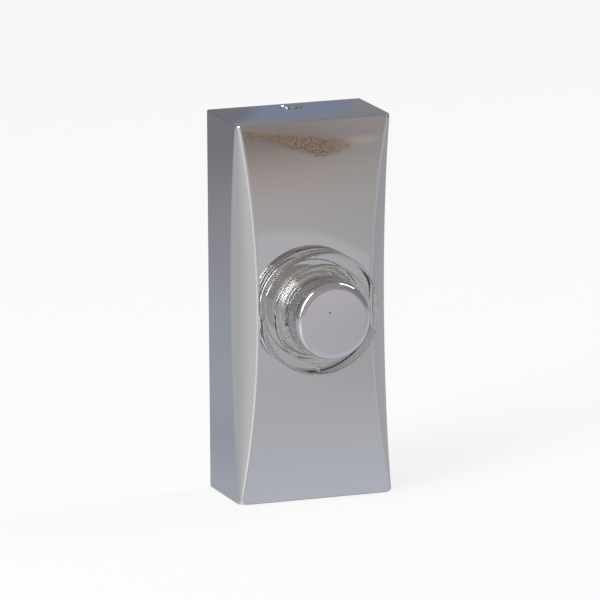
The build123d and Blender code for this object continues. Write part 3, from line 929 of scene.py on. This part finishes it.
class BELLPUSH_OT_cover(bpy.types.Operator):
    """Makes the chromed cover with its scalloped front corners."""

    bl_idname = "bellpush.cover"
    bl_label = "Chromed cover"

    def execute(self, context):
        cover = context.scene.bell_push_cover
        shell = cover_outside(cover)
        pegs = peg_outlines(context.scene.bell_push_collar, cover.peg_hole)
        outlines = [round_outline(cover.hole, segments=128), *pegs]
        inside, outside = cover.depth - 2 * cover.wall, cover.depth + cover.wall
        holes = [prism("hole", outline, inside, outside) for outline in outlines]
        bottom = -cover.height / 2 + cover.wall
        pocket_outline = box_outline(cover.pocket_width, 2 * cover.pocket_depth, up=bottom)
        pocket = prism("pocket", pocket_outline, cover.pocket_low, cover.pocket_high)
        countersink = countersink_cutter(cover, context.scene.bell_push_works.cover_shank)
        cut(shell, [cover_cavity(cover), *holes, countersink, pocket])
        chrome("chrome_cover", cover.colour, haze=0.02, wave=0.02)
        dressed(smoothed(closed(shell)), "chrome_cover", "housing", "front_cover")
        return {"FINISHED"}


# Collar and cap


class BELLPUSH_OT_collar(bpy.types.Operator):
    """Makes the clear stepped collar with its neck and pegs."""

    bl_idname = "bellpush.collar"
    bl_label = "Clear collar"

    def execute(self, context):
        collar = context.scene.bell_push_collar
        cover = context.scene.bell_push_cover
        fine, seat = collar.fine_rounding, cover.depth + collar.seat_gap
        corners = {
            "Counterbore end": (collar.counterbore, collar.end, fine),
            "Neck end": (collar.neck, collar.end, fine),
            "Neck root": (collar.neck, seat, fine),
            "Rim seat": (collar.radius, seat, fine),
            "Rim edge": (collar.radius, collar.rim, collar.rim_rounding),
            "Step root": (collar.step, collar.rim, fine),
            "Step edge": (collar.step, collar.top, collar.step_rounding),
            "Bore edge": (collar.bore, collar.top, collar.step_rounding),
            "Shoulder edge": (collar.bore, collar.shoulder, fine),
            "Shoulder root": (collar.counterbore, collar.shoulder, fine),
        }
        # The neck below the cover's front gets a painted glow.
        clear_plastic("clear_collar", collar.colour, collar.painted_glow, cover.depth)
        piece = turned_piece("lens_collar_clear", corners, "clear_collar", segments=160, rounding_steps=6)

        def trim_sides(work):
            for point in work.verts:
                past = max(abs(point.co.x) - collar.flat + collar.flat_blend, 0.0)
                kept = collar.flat_blend * math.tanh(past / collar.flat_blend)
                point.co.x -= math.copysign(past - kept, point.co.x)

        reworked(piece, trim_sides)
        peg_top = (cover.depth + collar.rim) / 2
        outlines = peg_outlines(collar, collar.peg)
        cut(piece, [prism("peg", outline, collar.peg_end, peg_top) for outline in outlines], "UNION")
        dressed(smoothed(closed(piece)), "clear_collar", "housing", "lens_collar")
        return {"FINISHED"}


class BELLPUSH_OT_cap(bpy.types.Operator):
    """Makes the button's chromed cap."""

    bl_idname = "bellpush.cap"
    bl_label = "Button cap"

    def execute(self, context):
        cap = context.scene.bell_push_cap
        inside, underside, fine = cap.radius - cap.wall, cap.top - cap.face, cap.fine_rounding
        corners = {
            "Open end": (inside, cap.bottom, fine),
            "Lip foot": (cap.lip, cap.bottom, fine),
            "Lip top": (cap.lip, cap.lip_top, fine),
            "Side root": (cap.radius, cap.lip_top, fine),
            "Face edge": (cap.radius, cap.top, cap.rounding),
            "Face middle": (0.0, cap.top),
            "Underside middle": (0.0, underside),
            "Underside edge": (inside, underside, fine),
        }
        pit_shift = (5.8 * MM, 0.0, 2.1 * MM)
        chrome("chrome_button", cap.colour, haze=0.03, wave=0.02, pit=0.09, shift=pit_shift)
        piece = turned_piece("button_cap_chrome", corners, "chrome_button", segments=160, rounding_steps=10)
        dressed(smoothed(piece), "chrome_button", "button", "button_cap")
        return {"FINISHED"}


# Works inside


# Roundings of the edges of the pieces that keep their CAD form
MOULDED_EDGE, STEM_EDGE, STRIP_EDGE = 0.25 * MM, 0.15 * MM, 0.08 * MM
TIP_EDGE, THIN_EDGE = 0.25 * MM, 0.06 * MM


class BELLPUSH_OT_mouldings(bpy.types.Operator):
    """Makes the base plate, the switch bridge and the plunger."""

    bl_idname = "bellpush.mouldings"
    bl_label = "Mouldings"

    def execute(self, context):
        works = context.scene.bell_push_works
        plastic("white_plastic", works.white, gloss=0.4)
        plastic("base_plastic", works.base, gloss=0.5)
        softened("base_plate", "moulded", MOULDED_EDGE, "base_plastic", "housing")
        softened("switch_bridge", "moulded", MOULDED_EDGE, "white_plastic", "housing")
        softened("plunger", "moulded", STEM_EDGE, "white_plastic", "button")
        return {"FINISHED"}


class BELLPUSH_OT_spring(bpy.types.Operator):
    """Makes the return spring and the collar's retainer."""

    bl_idname = "bellpush.spring"
    bl_label = "Spring and retainer"

    def execute(self, context):
        works = context.scene.bell_push_works
        metal("spring_steel", works.steel, haze=0.25)
        low, high = levels("return_spring")
        start, end = low + works.wire, high - works.wire
        pitch = (end - start) / works.turns
        sizes = {"Coil": works.coil, "Wire": works.wire, "Pitch": pitch, "Low": start, "High": end}

        def form(tree, given):
            return moved(coil(tree, given, segments=36, sides=12), turn=OUT)

        spring = smoothed(grown("return_spring_wound", sizes, "spring_steel", form), sharp_angle=60)
        dressed(spring, "spring_steel", "housing", "return_spring")
        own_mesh(spring)
        softened("collar_retainer", "sprung", STRIP_EDGE, "spring_steel", "housing")
        return {"FINISHED"}


class BELLPUSH_OT_contacts(bpy.types.Operator):
    """Makes the contact strips with their tips, the terminal clamps and the leaf, sliced across where it
    bends.
    """

    bl_idname = "bellpush.contacts"
    bl_label = "Contacts"

    def execute(self, context):
        works = context.scene.bell_push_works
        metal("contact_brass", works.brass, haze=0.25)
        metal("contact_tip", works.tin, haze=0.3)
        for name in ("fixed_contact", "terminal_clamp_left", "terminal_clamp_right"):
            softened(name, "rolled", STRIP_EDGE, "contact_brass", "housing")
        softened("fixed_tip", "rounded", TIP_EDGE, "contact_tip", "housing")
        root, slices = -works.leaf_root, 24

        def slice_leaf(work):
            for step in range(slices + 1):
                whole = [*work.verts, *work.edges, *work.faces]
                place = (root + works.leaf_free * step / slices, 0.0, 0.0)
                bmesh.ops.bisect_plane(work, geom=whole, plane_co=place, plane_no=(1.0, 0.0, 0.0))

        leaf = softened("moving_contact", "leaf", THIN_EDGE, "contact_brass", None, slice_leaf)
        tip = softened("moving_tip", "rounded", TIP_EDGE, "contact_tip", None)
        for piece in (leaf, tip):
            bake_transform(piece)
        return {"FINISHED"}


class BELLPUSH_OT_lamps(bpy.types.Operator):
    """Makes the lamp board with its lamps, its resistor and its pins."""

    bl_idname = "bellpush.lamps"
    bl_label = "Lamp board"

    def execute(self, context):
        works = context.scene.bell_push_works
        board_finish("board", works.board, works.tin, works.solder)
        softened("lamp_board", "printed", THIN_EDGE, "board", "housing")
        self.make_lamps(works)
        self.make_resistor(works)
        self.make_pins(works)
        return {"FINISHED"}

    def make_lamps(self, works):
        """Two lamps, each a dome on a square base."""
        nodes = ("led_lower", "led_upper")
        bottom, top = levels("led_upper")
        size = span("led_upper")
        radius, rounding, base_edge = works.led_dome, works.led_dome * 0.8, 0.1 * MM
        corners = {
            "Dome foot": (radius, bottom),
            "Dome edge": (radius, top, rounding),
            "Dome top": (0.0, top),
            "Middle": (0.0, bottom),
        }

        def form(tree, given):
            dome = moved(turned_form(tree, given, corners, segments=32, rounding_steps=6), turn=OUT)
            block = result(tree, "GeometryNodeMeshCube", {"Size": (size.x, works.led_base, size.z)})
            base = moved(block, world_point(0, bottom + works.led_base / 2, 0))
            return copies(joined(dome, base), *((0.0, 0.0, middle(name)[1]) for name in nodes))

        lamp_finish("led", works.lamp, bottom + works.led_base)
        lamps = bevelled(grown("lamps_moulded", corner_sizes(corners), "led", form), base_edge)
        dressed(smoothed(lamps), "led", "housing", *nodes)

    def make_resistor(self, works):
        """Resistor with a bead at each end, on leads that bend down to the board."""
        bottom, top = levels("lamp_resistor")
        half, bead = works.resistor_length / 2, works.resistor_radius
        waist, rounding, axis = bead * 0.85, bead * 0.35, top - bead
        bead_start, waist_end = half * 0.5, half * 0.4
        corners = {
            "Low end": (bead, -half, rounding),
            "Low bead": (bead, -bead_start),
            "Low waist": (waist, -waist_end),
            "High waist": (waist, waist_end),
            "High bead": (bead, bead_start),
            "High end": (bead, half, rounding),
            "Axis high": (0.0, half),
            "Axis low": (0.0, -half),
        }
        leads = {"Lead": works.lead, "Reach": span("lamp_resistor").z / 2 - works.lead, "Drop": axis - bottom}
        place = world_point(middle("lamp_resistor")[0], axis, 0.0)

        def form(tree, given):
            lead, reach, drop = (given[name] for name in leads)
            back = times(reach, -1.0)
            bends = ((drop, back), (0.0, back), (0.0, reach), (drop, reach))
            bends = [combined(tree, y=down, z=way) for down, way in bends]
            body = turned_form(tree, given, corners, segments=32, rounding_steps=4)
            line = bent_line(tree, bends, [0.0, lead, lead, 0.0], rounding_steps=4)
            return moved(joined(body, swept(line, lead, sides=12)), place)

        resistor_finish("resistor", works.lacquer, works.tin, works.resistor_length)
        resistor = grown("lamp_resistor_banded", {**corner_sizes(corners), **leads}, "resistor", form)
        dressed(smoothed(resistor, sharp_angle=50), "resistor", "housing", "lamp_resistor")

    def make_pins(self, works):
        """Two pins with a cone of solder on the board."""
        nodes = ("lamp_pin_left", "lamp_pin_right")
        bottom, top = levels("lamp_pin_right")
        board_top = levels("lamp_board")[1]
        radius = span("lamp_pin_right").x / 2
        rounding, solder_height = radius * 0.4, (top - board_top) * 0.8
        corners = {
            "Pin end": (radius, bottom, rounding),
            "Pin at board": (radius, board_top),
            "Solder foot": (works.solder, board_top),
            "Solder top": (radius, board_top + solder_height),
            "Pin top": (radius, top, rounding),
            "Axis top": (0.0, top),
            "Axis end": (0.0, bottom),
        }

        def form(tree, given):
            pin = moved(turned_form(tree, given, corners, segments=24, rounding_steps=3), turn=OUT)
            return copies(pin, *((x, 0.0, up) for x, up in map(middle, nodes)))

        pins = grown("lamp_pins_soldered", corner_sizes(corners), "contact_tip", form)
        dressed(smoothed(pins, sharp_angle=40), "contact_tip", "housing", *nodes)


class BELLPUSH_OT_screws(bpy.types.Operator):
    """Makes the slotted terminal and bridge screws and the cover screw."""

    bl_idname = "bellpush.screws"
    bl_label = "Screws"

    def execute(self, context):
        works = context.scene.bell_push_works
        metal("screw_steel", works.zinc, haze=0.25)
        clamp_top, board_top = (levels(name)[1] for name in ("terminal_clamp_right", "lamp_board"))
        terminals = ("terminal_screw_left", "terminal_screw_right")
        self.make_pair("terminal_screws_slotted", terminals, works, works.terminal_shank, clamp_top)
        bridges = ("bridge_screw_lower", "bridge_screw_upper")
        self.make_pair("bridge_screws_slotted", bridges, works, works.bridge_shank, board_top)
        self.make_cover_screw(works)
        return {"FINISHED"}

    def threaded(self, name, works, shank, low, high, head, facets, settle):
        """Screw with a thread between two levels; facets are its segments and rounding steps."""
        ridge = works.pitch / 4
        core = shank - 1.5 * ridge  # where the foot of the three-sided ridge lies
        corners = {"Tip": (core, low, ridge), "Neck": (core, high), **head, "Axis tip": (0.0, low)}
        thread = {"Coil": shank - ridge, "Wire": ridge, "Pitch": works.pitch}
        thread |= {"Low": low + ridge, "High": high - ridge}

        def form(tree, given):
            ridges = coil(tree, given, segments=20, sides=3)
            return settle(joined(turned_form(tree, given, corners, *facets), ridges))

        return grown(name, {**corner_sizes(corners), **thread}, "screw_steel", form)

    def make_pair(self, name, nodes, works, shank, seat):
        """Two slotted pan head screws with their heads on one level."""
        end, top = levels(nodes[0])
        radius, crown = span(nodes[0]).x / 2, (top - seat) * 0.35
        slot_length = 3 * radius
        head = {
            "Head seat": (radius, seat),
            "Head edge": (radius, top, crown),
            "Head middle": (0.0, top),
        }
        places = [(x, 0.0, up) for x, up in map(middle, nodes)]

        def settle(form):
            return copies(moved(form, turn=OUT), *places)

        screws = self.threaded(name, works, shank, end, seat, head, (40, 5), settle)
        outlines = [box_outline(slot_length, works.slot, x, up) for x, _, up in places]
        floor, over = top - works.slot_depth, top + works.slot
        cut(screws, [prism("slot", outline, floor, over) for outline in outlines])
        dressed(smoothed(screws, sharp_angle=35), "screw_steel", "housing", *nodes)

    def make_cover_screw(self, works):
        """Countersunk screw with a cross recess, upright in the top face."""
        low, high = levels("cover_screw")
        bottom, top = (corner.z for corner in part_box("cover_screw"))
        radius, out = (high - low) / 2, (low + high) / 2
        shank = works.cover_shank
        head = {"Head edge": (radius, top), "Head middle": (0.0, top)}
        place = world_point(0.0, out, 0.0)

        def settle(form):
            return moved(form, place)

        cone_end = top - (radius - shank)
        screw = self.threaded("cover_screw_crossed", works, shank, bottom, cone_end, head, (48, 3), settle)
        arms = []
        for across, deep in ((2 * shank, works.slot), (works.slot, 2 * shank)):
            outline = box_outline(across, 2 * works.slot_depth, up=top)
            arms.append(prism("arm", outline, out - deep / 2, out + deep / 2))
        rim = round_outline(shank + works.slot, segments=32)
        count = len(rim)
        points = [place + Vector((x, y, top + works.slot)) for x, y in rim]
        points.append(place + Vector((0.0, 0.0, top - shank)))
        sides = [(i, (i + 1) % count, count) for i in range(count)]
        cone = closed(mesh_object("cone", points, [tuple(range(count)), *sides]))
        cut(screw, [*arms, cone])
        dressed(smoothed(screw, sharp_angle=35), "screw_steel", "housing", "cover_screw")


# Stage: a floor, two lamps, and cards for a room that only metal and glass show


ROOM_SIDE, ROOM_NEAR, ROOM_BACK, ROOM_TOP = 0.9, -1.2, 0.8, 0.9
LEFT_SCALLOP = (-14.5 * MM, -16 * MM)  # about the middle of the left scallop at the waist, from above
LAMPS = (  # name, place, width, height and power
    ("key", (-0.68, -0.41, 0.62), 0.3, 1.5, 8.0),
    ("fill", (0.7, 0.1, 0.75), 0.22, 0.6, 2.05),
)
AHEAD_BANDS = (  # colours of the floor by their distance before the front
    (0.002, (0.66, 0.695, 0.735)),
    (0.016, (0.65, 0.67, 0.76)),
    (0.048, (0.63, 0.64, 0.68)),
    (0.098, (0.60, 0.60, 0.64)),
    (0.22, (0.62, 0.615, 0.62)),
    (0.257, (0.58, 0.56, 0.55)),
    (0.292, (0.56, 0.52, 0.51)),
    (0.322, (0.51, 0.44, 0.42)),
    (0.365, (0.31, 0.265, 0.245)),
    (0.388, (0.385, 0.325, 0.31)),
)
CRESCENT_WIDTHS = (  # share of the crescent's full width, by its place across the front
    (-17 * MM, 0.23),
    (1.2 * MM, 0.82),
    (4.5 * MM, 0.68),
    (7.8 * MM, 0.43),
    (9.2 * MM, 0.13),
    (10 * MM, 0.0),
)
LEFT_BEARINGS = (  # colours of the floor at the left by their bearing in degrees
    (-60, (0.50, 0.51, 0.55)),
    (-20, (0.55, 0.56, 0.58)),
    (10, (0.59, 0.595, 0.60)),
    (17, (0.58, 0.58, 0.59)),
    (31, (0.745, 0.745, 0.74)),
    (50, (0.82, 0.81, 0.79)),
    (60, (0.62, 0.61, 0.62)),
    (90, (0.62, 0.61, 0.62)),
)
LEFT_LIGHT = (  # brightness of the floor's lit part at the left, by its distance
    (0.055, 0.88),
    (0.08, 1.12),
    (0.15, 1.08),
    (0.24, 0.88),
    (0.29, 0.85),
    (0.345, 0.77),
)
LEFT_BACK = (  # colours of the floor at the left, by their distance behind the push's back
    (0.0, (0.485, 0.515, 0.57)),
    (0.04, (0.42, 0.44, 0.50)),
    (0.08, (0.435, 0.46, 0.52)),
    (0.155, (0.405, 0.43, 0.485)),
    (0.21, (0.37, 0.37, 0.42)),
    (0.26, (0.345, 0.345, 0.375)),
    (0.34, (0.25, 0.25, 0.28)),
)


def make_camera(stage):
    """Camera at the photograph's viewing angle."""
    data = bpy.data.cameras.new("Camera")
    data.sensor_width = 36.0
    data.lens = stage.lens
    data.clip_end = 100.0
    a, e, r = stage.azimuth, stage.elevation, stage.roll
    back = Vector((math.sin(a) * math.cos(e), -math.cos(a) * math.cos(e), math.sin(e)))
    level = Vector((math.cos(a), math.sin(a), 0.0))
    rise = back.cross(level)
    right, up = level * math.cos(r) + rise * math.sin(r), rise * math.cos(r) - level * math.sin(r)
    place = back * stage.distance - right * stage.offset_right - up * stage.offset_up
    camera = link_object("Camera", data)
    camera.matrix_world = Matrix.Translation(place) @ Matrix((right, up, back)).transposed().to_4x4()
    bpy.context.scene.camera = camera


def make_lamp(name, place, width, height, power):
    """Tall soft lamp that looks at the push."""
    data = bpy.data.lights.new(name, "AREA")
    data.shape = "RECTANGLE"
    data.size = width
    data.size_y = height
    data.energy = power
    lamp = link_object(name, data)
    lamp.location = place
    lamp.rotation_euler = (-Vector(place)).to_track_quat("-Z", "Y").to_euler()


def seen_directly(tree):
    """Socket that is 1 for rays from the camera, off metal or through glass, and 0 for the rest."""
    path = node(tree, "ShaderNodeLightPath").outputs
    shiny = maths("MAXIMUM", path["Is Glossy Ray"], path["Is Transmission Ray"])
    return maths("MAXIMUM", path["Is Camera Ray"], shiny)


def make_world():
    """White to the camera, metal and glass, and soft even light to everything else."""
    world = bpy.data.worlds.new("Studio")
    bpy.context.scene.world = world
    tree = empty_tree(world)
    limits = {"Value": seen_directly(tree), "To Min": 0.5, "To Max": 1.0}
    strength = result(tree, "ShaderNodeMapRange", limits)
    sky = result(tree, "ShaderNodeBackground", {"Color": WHITE, "Strength": strength})
    node(tree, "ShaderNodeOutputWorld", {"Surface": sky})


def stage_piece(name, corners, surface_of):
    """Flat piece of the stage with four corners, whose surface is made by a function of its tree."""
    material = bpy.data.materials.new(name)
    tree = empty_tree(material)
    node(tree, "ShaderNodeOutputMaterial", {"Surface": surface_of(tree)})
    made = mesh_object(name, corners, [(0, 1, 2, 3)])
    made.data.materials.append(material)
    return made


def lying(low, high, level):
    """Corners of a piece that lies on a level between two (x, y) corners."""
    (left, near), (right, far) = low, high
    return [(left, near, level), (right, near, level), (right, far, level), (left, far, level)]


def upright(first, last, level):
    """Corners of a card that stands on the line between two (x, y) corners and reaches the ceiling."""
    return [(*first, level), (*last, level), (*last, ROOM_TOP), (*first, ROOM_TOP)]


def make_floor(stage):
    """Pale floor that is nearly white to the camera, metal and glass, and keeps the push's shadow."""

    def surface(tree):
        matt = result(tree, "ShaderNodeBsdfDiffuse", {"Color": stage.floor_colour})
        white = result(tree, "ShaderNodeEmission", {"Color": WHITE, "Strength": 1.0})
        return result(tree, "ShaderNodeMixShader", {0: times(seen_directly(tree), 0.75), 1: matt, 2: white})

    half = stage.floor_size / 2
    stage_piece("floor", lying((-half, -half), (half, half), CAD_LOW.z), surface)


def make_card(name, corners, colour):
    """Card that only metal and glass show, in one colour or in those that a function gives each place."""

    def surface(tree):
        shown = colour
        if callable(colour):
            shown = colour(node(tree, "ShaderNodeTexCoord").outputs["Object"])
        return result(tree, "ShaderNodeEmission", {"Color": shown, "Strength": 1.0})

    card = stage_piece(name, corners, surface)
    card.visible_camera = False
    card.visible_diffuse = False
    card.visible_shadow = False


def along(axis, *stops):
    """Colour function of a card that changes along one axis."""
    return lambda place: ramp(axes(place)[axis], stops)


def patch(place, centre, reach, edge):
    """Socket that is 1 inside an ellipse and fades to 0 over its edge, a share of its reach."""
    away = vectors("DIVIDE", vectors("SUBTRACT", place, (*centre, 0.0)), (*reach, 1.0))
    return eased(vectors("LENGTH", away), 1.0 + edge, 1.0 - edge)


def front_colour(place, front):
    """Colours of the floor before the push: soft bands, a pale arch and a speckled crescent."""
    drift, across_scale, up_scale = 0.3645, 0.81, 0.171  # how the floor's image lies on the cover's front
    floor_x, floor_y, _ = axes(place)
    ahead = minus(front, floor_y)
    x = times(minus(floor_x, times(ahead, drift)), across_scale)
    up = times(ahead, up_scale)
    drawn = combined(place.id_data, x, up)
    colour = ramp(ahead, AHEAD_BANDS)
    shade = times(eased(x, -12 * MM, 18 * MM), eased(ahead, 0.05, 0.13))
    colour = mixed(times(shade, 0.55), colour, (0.48, 0.47, 0.46))
    disc = patch(drawn, (-7 * MM, 13.9 * MM), (30 * MM, 30 * MM), 0.03)
    arch = times(disc, eased(ahead, 0.17, 0.23))
    colour = mixed(times(arch, 0.8), colour, (0.66, 0.645, 0.67))
    specks = noise(drawn, 2600.0, 3.0)
    ragged = times(minus(specks, 0.5), 2 * MM)
    line = minus(62.4 * MM, times(x, 0.15))
    below = plus(minus(line, up), ragged)
    left_over = minus(times(ramp(x, greys(CRESCENT_WIDTHS)), 6 * MM), below)
    crescent = times(eased(below, -0.3 * MM, 0.3 * MM), eased(left_over, 0.4 * MM, 1.2 * MM))
    brown = mixed(eased(specks, 0.39, 0.62), (0.12, 0.08, 0.055), (0.52, 0.40, 0.31))
    brown = mixed(times(eased(x, 1 * MM, 10 * MM), 0.6), brown, (0.42, 0.36, 0.32))
    streak = patch(drawn, (11 * MM, 60.9 * MM), (3.4 * MM, 0.7 * MM), 0.6)
    return mixed(streak, mixed(crescent, colour, brown), (0.52, 0.46, 0.40))


def left_colour(place, origin):
    """Colours of the floor at the left; a bearing of 0 is straight left and one of 90 straight ahead."""
    away = vectors("SUBTRACT", origin, place)
    left, ahead, _ = axes(away)
    bearing = maths("DEGREES", maths("ARCTAN2", ahead, left))
    window = times(eased(bearing, 31, 37), eased(bearing, 70, 58))
    light = ramp(vectors("LENGTH", away), greys(LEFT_LIGHT))
    colour = mixed(window, ramp(bearing, LEFT_BEARINGS), light)
    return mixed(eased(bearing, -35, -60), colour, ramp(axes(place)["Y"], LEFT_BACK))


class BELLPUSH_OT_stage(bpy.types.Operator):
    """Sets up the camera, the floor, the cards and the light."""

    bl_idname = "bellpush.stage"
    bl_label = "Stage"

    def execute(self, context):
        stage = context.scene.bell_push_stage
        make_camera(stage)
        make_world()
        make_floor(stage)
        context.scene.view_settings.view_transform = "Standard"
        for lamp in LAMPS:
            make_lamp(*lamp)
        level = CAD_LOW.z + stage.card_gap
        self.make_floor_cards(context.scene.bell_push_cover, level)
        self.make_walls(level)
        return {"FINISHED"}

    def make_floor_cards(self, cover, level):
        """Cards that lie on the floor round the push."""
        front, half = -cover.depth, cover.width / 2
        left = LEFT_SCALLOP[0]

        def ahead(place):
            return front_colour(place, front)

        def aside(place):
            return left_colour(place, (*LEFT_SCALLOP, level))

        make_card("card_ahead", lying((left, ROOM_NEAR), (ROOM_SIDE, front), level), ahead)
        # The dark card under the push is a painted shadow: the push's shade as metal and glass show it.
        make_card("card_under_painted_shadow", lying((left, front), (half, 0.0), level), (0.3, 0.31, 0.33))
        make_card("card_left", lying((-ROOM_SIDE, ROOM_NEAR), (left, ROOM_BACK), level), aside)
        right_stops = (0.05, (0.56, 0.555, 0.59)), (0.18, (0.51, 0.515, 0.54)), (0.32, (0.42, 0.405, 0.42))
        make_card("card_right", lying((half, front), (ROOM_SIDE, ROOM_BACK), level), along("X", *right_stops))

    def make_walls(self, level):
        """Upright cards and a ceiling in the greys of a room, with a bright pane in the left wall."""
        near_left, near_right = (-ROOM_SIDE, ROOM_NEAR), (ROOM_SIDE, ROOM_NEAR)
        back_left, back_right = (-ROOM_SIDE, ROOM_BACK), (ROOM_SIDE, ROOM_BACK)
        grey, blue = (0.36, 0.345, 0.35), (0.245, 0.28, 0.375)
        dim, warm = (0.26, 0.27, 0.33), (0.42, 0.39, 0.38)
        ceiling = along("Y", (ROOM_NEAR, (0.40, 0.36, 0.35)), (-0.3, (0.375, 0.36, 0.36)), (ROOM_BACK, grey))
        make_card("card_ceiling", lying(near_left, back_right, ROOM_TOP), ceiling)
        plain_left = along("Y", (ROOM_NEAR, warm), (0.0, (0.42, 0.40, 0.40)), (0.1, dim), (ROOM_BACK, dim))

        def wall_left(place):
            _, y, z = axes(place)
            pane = times(times(eased(y, -0.75, -0.68), eased(y, -0.38, -0.45)), eased(z, 0.0, 0.06))
            return mixed(pane, plain_left(place), (1.6, 1.6, 1.6))

        make_card("card_wall_left", upright(near_left, back_left, level), wall_left)
        wall_right = along("Z", (level, (0.5, 0.5, 0.54)), (0.02, (0.3, 0.28, 0.32)), (ROOM_TOP, dim))
        make_card("card_wall_right", upright(near_right, back_right, level), wall_right)
        far = along(
            "X",
            (-ROOM_SIDE, warm),
            (-0.3, (0.55, 0.52, 0.5)),
            (0.1, (0.45, 0.41, 0.40)),
            (ROOM_SIDE, (0.38, 0.33, 0.31)),
        )
        make_card("card_far", upright(near_left, near_right, level), far)
        rising = along(
            "Z",
            (level, blue),
            (0.235, blue),
            (0.29, (0.29, 0.295, 0.32)),
            (0.4, (0.33, 0.32, 0.32)),
            (ROOM_TOP, grey),
        )

        def wall_back(place):
            x = axes(place)["X"]
            colour = mixed(eased(x, 0.283, 0.273), rising(place), (0.215, 0.22, 0.25))
            return mixed(eased(x, 0.308, 0.313), colour, (0.275, 0.285, 0.31))

        make_card("card_back", upright(back_left, back_right, level), wall_back)


# Panel, registration and run


OPERATORS = (
    BELLPUSH_OT_cover,
    BELLPUSH_OT_collar,
    BELLPUSH_OT_cap,
    BELLPUSH_OT_mouldings,
    BELLPUSH_OT_spring,
    BELLPUSH_OT_contacts,
    BELLPUSH_OT_lamps,
    BELLPUSH_OT_screws,
    BELLPUSH_OT_stage,
)
SETTINGS = {
    "bell_push_cover": CoverSettings,
    "bell_push_collar": CollarSettings,
    "bell_push_cap": CapSettings,
    "bell_push_works": WorksSettings,
    "bell_push_stage": StageSettings,
}


class BELLPUSH_PT_panel(bpy.types.Panel):
    """Lists the push's settings and pieces in the sidebar."""

    bl_idname = "BELLPUSH_PT_panel"
    bl_label = "Bell push"
    bl_space_type = "VIEW_3D"
    bl_region_type = "UI"
    bl_category = "Bell push"

    def draw(self, context):
        for operator in OPERATORS:
            self.layout.operator(operator.bl_idname)
        for name, group in SETTINGS.items():
            box = self.layout.box()
            for setting in group.__annotations__:
                box.prop(getattr(context.scene, name), setting)


def register():
    for cls in (*SETTINGS.values(), *OPERATORS, BELLPUSH_PT_panel):
        bpy.utils.register_class(cls)
    for name, group in SETTINGS.items():
        setattr(bpy.types.Scene, name, PointerProperty(type=group))


def unregister():
    for name in SETTINGS:
        delattr(bpy.types.Scene, name)
    for cls in reversed((*SETTINGS.values(), *OPERATORS, BELLPUSH_PT_panel)):
        bpy.utils.unregister_class(cls)


def main():
    register()
    polish_group()
    pits_group()
    grain_group()
    bpy.ops.bellpush.cover()
    bpy.ops.bellpush.collar()
    bpy.ops.bellpush.cap()
    bpy.ops.bellpush.mouldings()
    bpy.ops.bellpush.spring()
    bpy.ops.bellpush.contacts()
    bpy.ops.bellpush.lamps()
    bpy.ops.bellpush.screws()
    bpy.ops.bellpush.stage()


if __name__ == "__main__":
    main()
